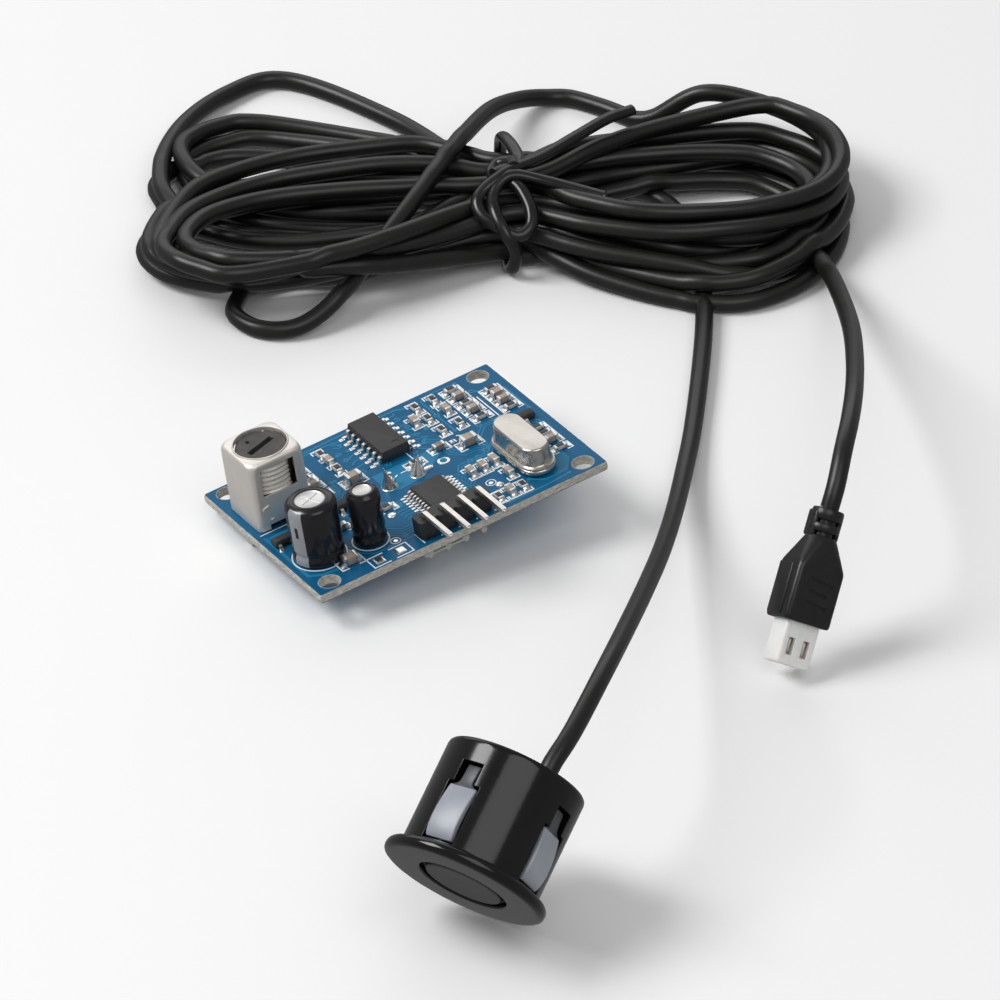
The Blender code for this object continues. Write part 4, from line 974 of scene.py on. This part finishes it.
def make_capacitor(name, cap, stripe_turn, vent):
    where = on_board(cap["at"])
    r, top = cap["radius"], cap["high"]
    lid = 0.6 * r
    stripe_at = stripe_turn * DEG
    low = [(-0.55, 0.22), (-0.2, 0.22), (0.02, 0.3), (0.06, 0.55), (0.05, 1.05), (-0.06, 1.3), (-0.15, 1.5),
        (-0.15, 1.65), (-0.05, 1.9), (0.04, 2.15)]
    shoulder = [(0.05, -0.95), (0.01, -0.62), (-0.14, -0.36), (-0.42, -0.16)]
    rim = [(0.32, 0.02), (0.12, 0.05), (0, 0.01), (-0.03, -0.08), (0.15, -0.2)]
    profile = shifted(low, r) + shifted(shoulder, r, top) + shifted(rim, lid, top)
    shape = add_turned(bmesh.new(), profile, 96, closed=True)
    for face in shape.faces:
        middle = face.calc_center_median()
        turn = math.atan2(middle.y, middle.x) - stripe_at
        turn = math.atan2(math.sin(turn), math.cos(turn))
        if abs(turn) < 19 * DEG and middle.xy.length > r - 0.5:
            face.material_index = 1
    finish_piece(f"{name}_sleeve", shape, "sleeve", where, second="stripe", angle=50)
    disc = [(0.05, -0.5), (0.05, -0.14), (-0.05, -0.07), (-0.16, -0.05), (-0.26, -0.11),
        (0.02 - lid, -0.11)]
    plate = finish_piece(f"{name}_top", add_turned(bmesh.new(), shifted(disc, lid, top), 64), "aluminium",
        where, replaces=[f"{name}_can"])
    if vent:
        for turn in (20, 110):
            cut_out(plate, add_block(bmesh.new(), (2 * (lid - 0.4), 0.13, 0.3), (0, 0, top - 0.05), 0.03,
                spin(turn)), where)
        spot = (math.cos(stripe_at) * (r + 0.055), math.sin(stripe_at) * (r + 0.055), 5.2)
        mark = add_block(bmesh.new(), (0.03, 0.42, 1.5), spot, turned=spin(stripe_turn))
        finish_piece(f"{name}_mark", mark, "sleeve", where)
    wall = shifted([(-0.35, 0.35), (-0.25, 0.35), (-0.25, 1.1), (-0.35, 1.5), (-0.25, 1.9)], r)
    wall += shifted([(-0.25, -0.5), (-0.45, -0.3), (-0.55, -0.3), (-0.35, -0.6)], r, top)
    wall += shifted([(-0.35, 1.95), (-0.42, 1.5), (-0.35, 1.1)], r)
    finish_piece(f"{name}_wall", add_turned(bmesh.new(), wall, 64, closed=True), "aluminium", where)


def make_crystal():
    """The crystal's can and the foot it stands on: height, half width and half length of each."""
    can = [(3.5, 1.6, 4.6), (1, 1.6, 4.6), (1, 2.22, 5.37), (1.12, 2.26, 5.41), (1.22, 2.22, 5.37),
        (1.28, 2.08, 5.2), (1.36, 1.96, 5.03), (1.5, 1.9, 4.95), (2.2, 1.88, 4.91), (3.3, 1.88, 4.9),
        (3.5, 1.86, 4.88), (3.62, 1.81, 4.83), (3.71, 1.71, 4.73), (3.75, 1.58, 4.6)]
    foot = [(0.3, 2.2, 5.35), (0.36, 2.3, 5.45), (0.5, 2.36, 5.5), (0.78, 2.36, 5.5), (0.9, 2.3, 5.45),
        (0.96, 2.2, 5.35)]
    for name, sections, node, angle in (("can", can, "cover", 40), ("foot", foot, "base", 50)):
        shape = add_rings(bmesh.new(), [rounded(x, y, x, z, 18) for z, x, y in sections])
        finish_piece(f"crystal_{name}", shape, "crystal", on_board(CRYSTAL_AT),
            replaces=[f"crystal_{node}"], angle=angle)


# ---- header and socket joints


def make_header():
    where = on_board(HEADER_AT)
    half, chamfer = HEADER_PITCH / 2, 0.42
    middles = [count * HEADER_PITCH for count in range(4)]
    front = []
    for x in middles:
        front += [(x - half + 0.02, -half + chamfer), (x - half + chamfer, -half),
            (x + half - chamfer, -half)]
    front.append((middles[-1] + half - 0.02, -half + chamfer))
    shape = add_prism(bmesh.new(), front + [(x, -y) for x, y in reversed(front)], 0.05, HEADER_PITCH)
    block = finish_piece("header_body", shape, "moulding", where, replaces=["header_block"], angle=30)
    cut = bmesh.new()
    for x in middles:
        add_block(cut, (0.74, 0.74, 5), (x, 0, 1))
    cut_out(block, cut, where)
    soften(block, 0.09, 3)
    # The pins' route (y, z) and their width there as a share of the whole.
    level, reach = 3.16, 6.85
    route = [(0, -3.5, 0.55), (0, -3.2, 1), (0, 2.65, 1), (-0.03, 2.9, 1), (-0.12, 3.06, 1),
        (-0.28, 3.15, 1), (-0.5, level, 1), (0.35 - reach, level, 1), (0.12 - reach, level, 0.86),
        (-reach, level, 0.55)]
    pins, solder = bmesh.new(), bmesh.new()
    for x in middles:
        rings = []
        for index, (y, z, share) in enumerate(route):
            ahead = along(route, index)
            up = Vector((0, -ahead.y, ahead.x))
            rings.append([Vector((x + point.x, y, z)) + up * point.y
                for point in rounded(0.32 * share, 0.32 * share, 0.07, 0, 3)])
        add_rings(pins, rings)
        add_cone(solder, (x, 0), 0.95, 1.3, 0.36, -BOARD_THICK, -1)
        add_ring(solder, (x, 0), 0.8, 0.3, 0.04)
    finish_piece("header_pins", pins, "tin", where, angle=30,
        replaces=[f"header_pin_{count}" for count in (1, 2, 3, 4)])
    finish_piece("header_solder", solder, "solder", where, angle=60)


def add_cone(shape, centre, radius, high, tip, base=0, up=1, lean=(0, 0), hollow=2.4):
    """A concave cone of solder round a lead; up is -1 on the underside."""
    rings = []
    for share in (0, 0.05, 0.12, 0.22, 0.36, 0.55, 0.78, 1):
        width = tip + (radius - tip) * (1 - share) ** hollow
        spot = (centre[0] + lean[0] * share**1.6, centre[1] + lean[1] * share**1.6)
        rings.append(circle(width, base + up * high * share, 20, spot))
    add_rings(shape, rings)


def make_joints():
    """Solder at every lead hole, and the cut leads under the board."""
    shape = bmesh.new()
    for side, high in ((-1, 2.9), (1, 2.5)):
        x, y = SOCKET_AT[0] + side * 2, SOCKET_AT[1] + 0.8
        add_cone(shape, (x, y), 1.05, high, 0.05, lean=(0.45 * side, 0), hollow=1.25)
        add_cone(shape, (x + 0.2, y - 0.2), 0.7, high * 0.5, 0.05, lean=(0.8, -0.3), hollow=1.4)
        add_dome(shape, (x, y), 1.1, 0.12)
    joints = {COIL_AT: [(-2.25, -2.5), (-2.25, 2.5), (2.25, -2.5), (2.25, 2.5), (0, -2.5), (-3.7, 0),
        (3.7, 0)], BIG_CAP["at"]: [(-1.25, 0), (1.25, 0)], SMALL_CAP["at"]: [(-0.75, 0), (0.75, 0)],
        CRYSTAL_AT: [(0, -2.44), (0, 2.44)]}
    for (x, y), spots in joints.items():
        for u, v in spots:
            add_cone(shape, (x + u, y + v), 0.85, 1.1, 0.33, -BOARD_THICK, -1)
    finish_piece("lead_solder", shape, "solder", angle=60)


# ---- probe


def make_probe():
    r, body, bore, back = 10.1, 8.6, 6, 15
    profile = [(5.46, 0.22), (5.53, 0.06), (5.66, 0)]
    profile += shifted([(-0.85, 0), (-0.5, 0.05), (-0.2, 0.2), (-0.05, 0.42), (0, 0.68), (-0.03, 0.98),
        (-0.12, 1.22), (-0.28, 1.39), (-0.48, 1.45)], r)
    profile += shifted([(0.35, 1.45), (0.12, 1.52), (0, 1.72), (0, 1.9), (0, 2.6), (0, 4), (0, 6), (0, 8),
        (0, 9.6), (0, 11), (0, 12.3), (0, 13.4), (0, 14.2)], body)
    profile += shifted([(0, -0.55), (-0.06, -0.26), (-0.24, -0.06), (-0.5, 0)], body, back)
    profile += shifted([(0.35, 0), (0.1, -0.07), (0, -0.25), (0, 1.3 - back)], bore, back)
    profile += [(5.46, 1.05), (5.46, 0.4)]
    housing = finish_piece("probe_shell", add_turned(bmesh.new(), profile, 160, closed=True), "shell",
        PROBE, replaces=["probe_housing"])
    pocket = [(-2.2, 1.9), (2.2, 1.9), (2.2, 9.3), (1.45, 9.3), (1.45, 12), (-1.45, 12), (-1.45, 9.3),
        (-2.2, 9.3)]
    outward = Matrix(((0, 0, 1, 0), (1, 0, 0, 0), (0, 1, 0, 0), (0, 0, 0, 1)))
    for angle in CLIP_ANGLES:
        cut_out(housing, add_prism(bmesh.new(), pocket, 6.5, 11, spin(angle) @ outward), PROBE)
    smooth(housing.data, 32)
    soften(housing, 0.1, 3, 40)
    even = housing.modifiers.new("even_shading", "WEIGHTED_NORMAL")
    even.keep_sharp = True
    turned = [("ring", "rubber", "decoupling_ring",
        [(4.85, 0.72), (4.93, 0.6), (5.1, 0.56), (5.28, 0.6), (5.38, 0.72), (5.38, 1.1), (5.92, 1.5),
        (5.92, 8.35), (4.85, 8.35)]), ("membrane", "face", "transducer_can",
        [(4.25, 8.3), (4.75, 8.3), (4.75, 0.3), (4.71, 0.16), (4.6, 0.08), (4.45, 0.05), (4.3, 0.05),
        (4.1, 0.06), (0.01, 0.06), (0.01, 0.75), (4.25, 0.75)]),
        ("potting", "resin", "potting_resin",
        [(0.01, 8.5), (5.95, 8.5), (5.95, 14.72), (5.7, 14.64), (5.2, 14.58), (3.4, 14.62), (0.01, 14.66)])]
    for name, look, node, profile in turned:
        finish_piece(name, add_turned(bmesh.new(), profile, 96, closed=name != "potting"), look, PROBE,
            replaces=[node])
    x, y, z = CORD_EXIT
    lip = [(1.9, z - 0.2), (1.75, z - 0.02), (1.45, z + 0.12), (1.24, z + 0.32)]
    finish_piece("potting_lip", add_turned(bmesh.new(), lip, 40, (x, y)), "resin", PROBE, angle=70)
    for count, angle in enumerate(CLIP_ANGLES, 1):
        make_clip(count, angle)


def make_clip(count, angle):
    """A nylon leaf: a narrow neck at the back that widens to a bowed tab with a raised rim. The neck's
    faces, deep in the housing's slot, take a darker material: painted shade.
    """
    sections = [(11.75, 1.8, 7.2, 7.85), (11.3, 1.8, 7.25, 7.95), (10.4, 1.8, 7.35, 8.02),
        (9.7, 1.8, 7.45, 8.1), (9.3, 2.1, 7.48, 8.14), (9.05, 3, 7.5, 8.17), (8.9, 3.7, 7.52, 8.2),
        (8.6, 3.8, 7.58, 8.28), (7.8, 3.8, 7.72, 8.46), (6.8, 3.8, 7.88, 8.66), (5.7, 3.8, 7.98, 8.78),
        (4.6, 3.8, 8, 8.82), (3.6, 3.8, 7.94, 8.75), (2.8, 3.78, 7.8, 8.58), (2.4, 3.7, 7.74, 8.42),
        (2.22, 3.5, 7.8, 8.3)]
    shape = add_rings(bmesh.new(), [[point + Vector(((inner + outer) / 2, 0, 0))
        for point in rounded((outer - inner) / 2, width / 2, 0.16, z, 4)]
        for z, width, inner, outer in sections])
    # Faces deep in the slot get the dark second material, as painted shade.
    for face in shape.faces:
        if face.calc_center_median().z > 8.9:
            face.material_index = 1
    finish_piece(f"clip_{count}_leaf", shape, "nylon_clip", PROBE @ spin(angle), f"clip_{count}",
        second="nylon_neck_painted_shade", replaces=[f"retaining_clip_{count}"], angle=45)


# ---- plug


def make_plug():
    # Height, half widths and corner radius; the grooves and the end of the relief are round.
    sections = [(PLUG_NOSE, 2.7, 2.4, 0.4), (PLUG_NOSE + 0.03, 2.95, 2.62, 0.5),
        (PLUG_NOSE + 0.2, 3.1, 2.76, 0.6), (PLUG_NOSE + 0.45, 3.15, 2.8, 0.65), (8.3, 3.15, 2.8, 0.65),
        (11.8, 3.15, 2.8, 0.7), (12.2, 3.1, 2.77, 0.8), (12.8, 2.92, 2.64, 1), (14.2, 2.4, 2.3, 1.35),
        (15.2, 2.05, 2.04, 1.6), (15.6, 1.93, 1.95, 1.8), (15.86, 1.8, 1.8, 1.75)]
    sections += [(z, x, x, x - less)
        for z, x, less in ((15.96, 1.3, 0), (16.38, 1.3, 0), (16.46, 1.86, 0.02), (16.58, 1.95, 0.01),
        (17.28, 1.95, 0.01), (17.4, 1.86, 0.02), (17.48, 1.3, 0), (17.86, 1.3, 0), (17.94, 1.86, 0.02),
        (18.06, 1.95, 0.01), (19, 1.95, 0.01), (19.24, 1.82, 0.02), (PLUG_LONG, 1.5, 0))]
    shape = add_rings(bmesh.new(), [rounded(x, y, min(radius, x, y), z, 10)
        for z, x, y, radius in sections])
    mould = finish_piece("plug_body", shape, "overmould", PLUG, replaces=["plug_overmould"], angle=38)
    cut = bmesh.new()
    for x, z, long in ((0.35, 10.4, 3.1), (0.1, 9, 2.5), (0.3, 7.6, 2.8)):
        add_block(cut, (long, 0.34, 0.36), (x, -2.8, z), turned=spin(8, "Y"))
    cut_out(mould, cut, PLUG)
    smooth(mould.data, 38)
    shape = bmesh.new()
    for side in (-1, 1):
        add_block(shape, (0.5, 3.4, 6.3), (side * 3.1, 0.5, 8.8), 0.16)
        add_block(shape, (0.6, 2.2, 3.2), (side * 1.6, 0.3, 17.25), 0.25)
    finish_piece("plug_ribs", shape, "overmould", PLUG)
    housing = finish_piece("plug_shell", add_block(bmesh.new(), (4.6, 3.9, 8), (0, 0, 4), 0.4, segments=5),
        "white_nylon", PLUG, replaces=["plug_housing"])
    shape = bmesh.new()
    for side in (-1, 1):
        cut_out(housing, add_block(bmesh.new(), (1.2, 1.5, 9), (side, -0.4, 3)), PLUG)
        cut_out(housing, add_block(bmesh.new(), (0.85, 2, 2.1), (side, -1.6, 2.2), 0.05), PLUG)
        add_block(shape, (0.9, 1.1, 6), (side, -0.4, 4.2), 0.1)
        add_block(shape, (0.34, 0.5, 1.6), (side, -1.25, 2.3), 0.1, Matrix.Rotation(0.2, 4, "Z"))
    soften(housing, 0.06, 2, 50)
    finish_piece("plug_springs", shape, "tin", PLUG, replaces=["plug_contact_1", "plug_contact_2"])


# ---- the rest of the CAD nodes


# Materials for the CAD's solids that stay as they are.
DRESSED = {"tin": [*(f"coil_pin_{count}" for count in range(1, 6)),
    *(f"{part}_{count}" for count in (1, 2)
    for part in ("big_capacitor_lead", "small_capacitor_lead", "crystal_lead", "socket_pin"))],
    "moulding": ["coil_base"], "ferrite": ["coil_drum"], "copper": ["coil_winding"],
    "rubber": ["big_capacitor_bung", "small_capacitor_bung"],
    "felt": ["big_capacitor_roll", "small_capacitor_roll", "damping_pad"], "quartz": ["crystal_blank"],
    "white_nylon": ["probe_socket"], "tan": ["piezo_disc"]}


def dress_nodes():
    for look, names in DRESSED.items():
        for name in names:
            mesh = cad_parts[name].data
            mesh.materials.clear()
            mesh.materials.append(LOOKS[look])


def main():
    make_looks()
    make_camera()
    cord, exit_point = make_cord()
    tie, tie_wire = make_tie()
    make_plug()
    make_board()
    make_tracks()
    silk = bmesh.new()
    make_small_parts(silk)
    make_outlines(silk)
    make_coil()
    make_capacitor("big_capacitor", BIG_CAP, 200, True)
    make_capacitor("small_capacitor", SMALL_CAP, 75, False)
    make_crystal()
    make_header()
    make_joints()
    make_chips()
    make_probe()
    dress_nodes()
    make_stage()


main()
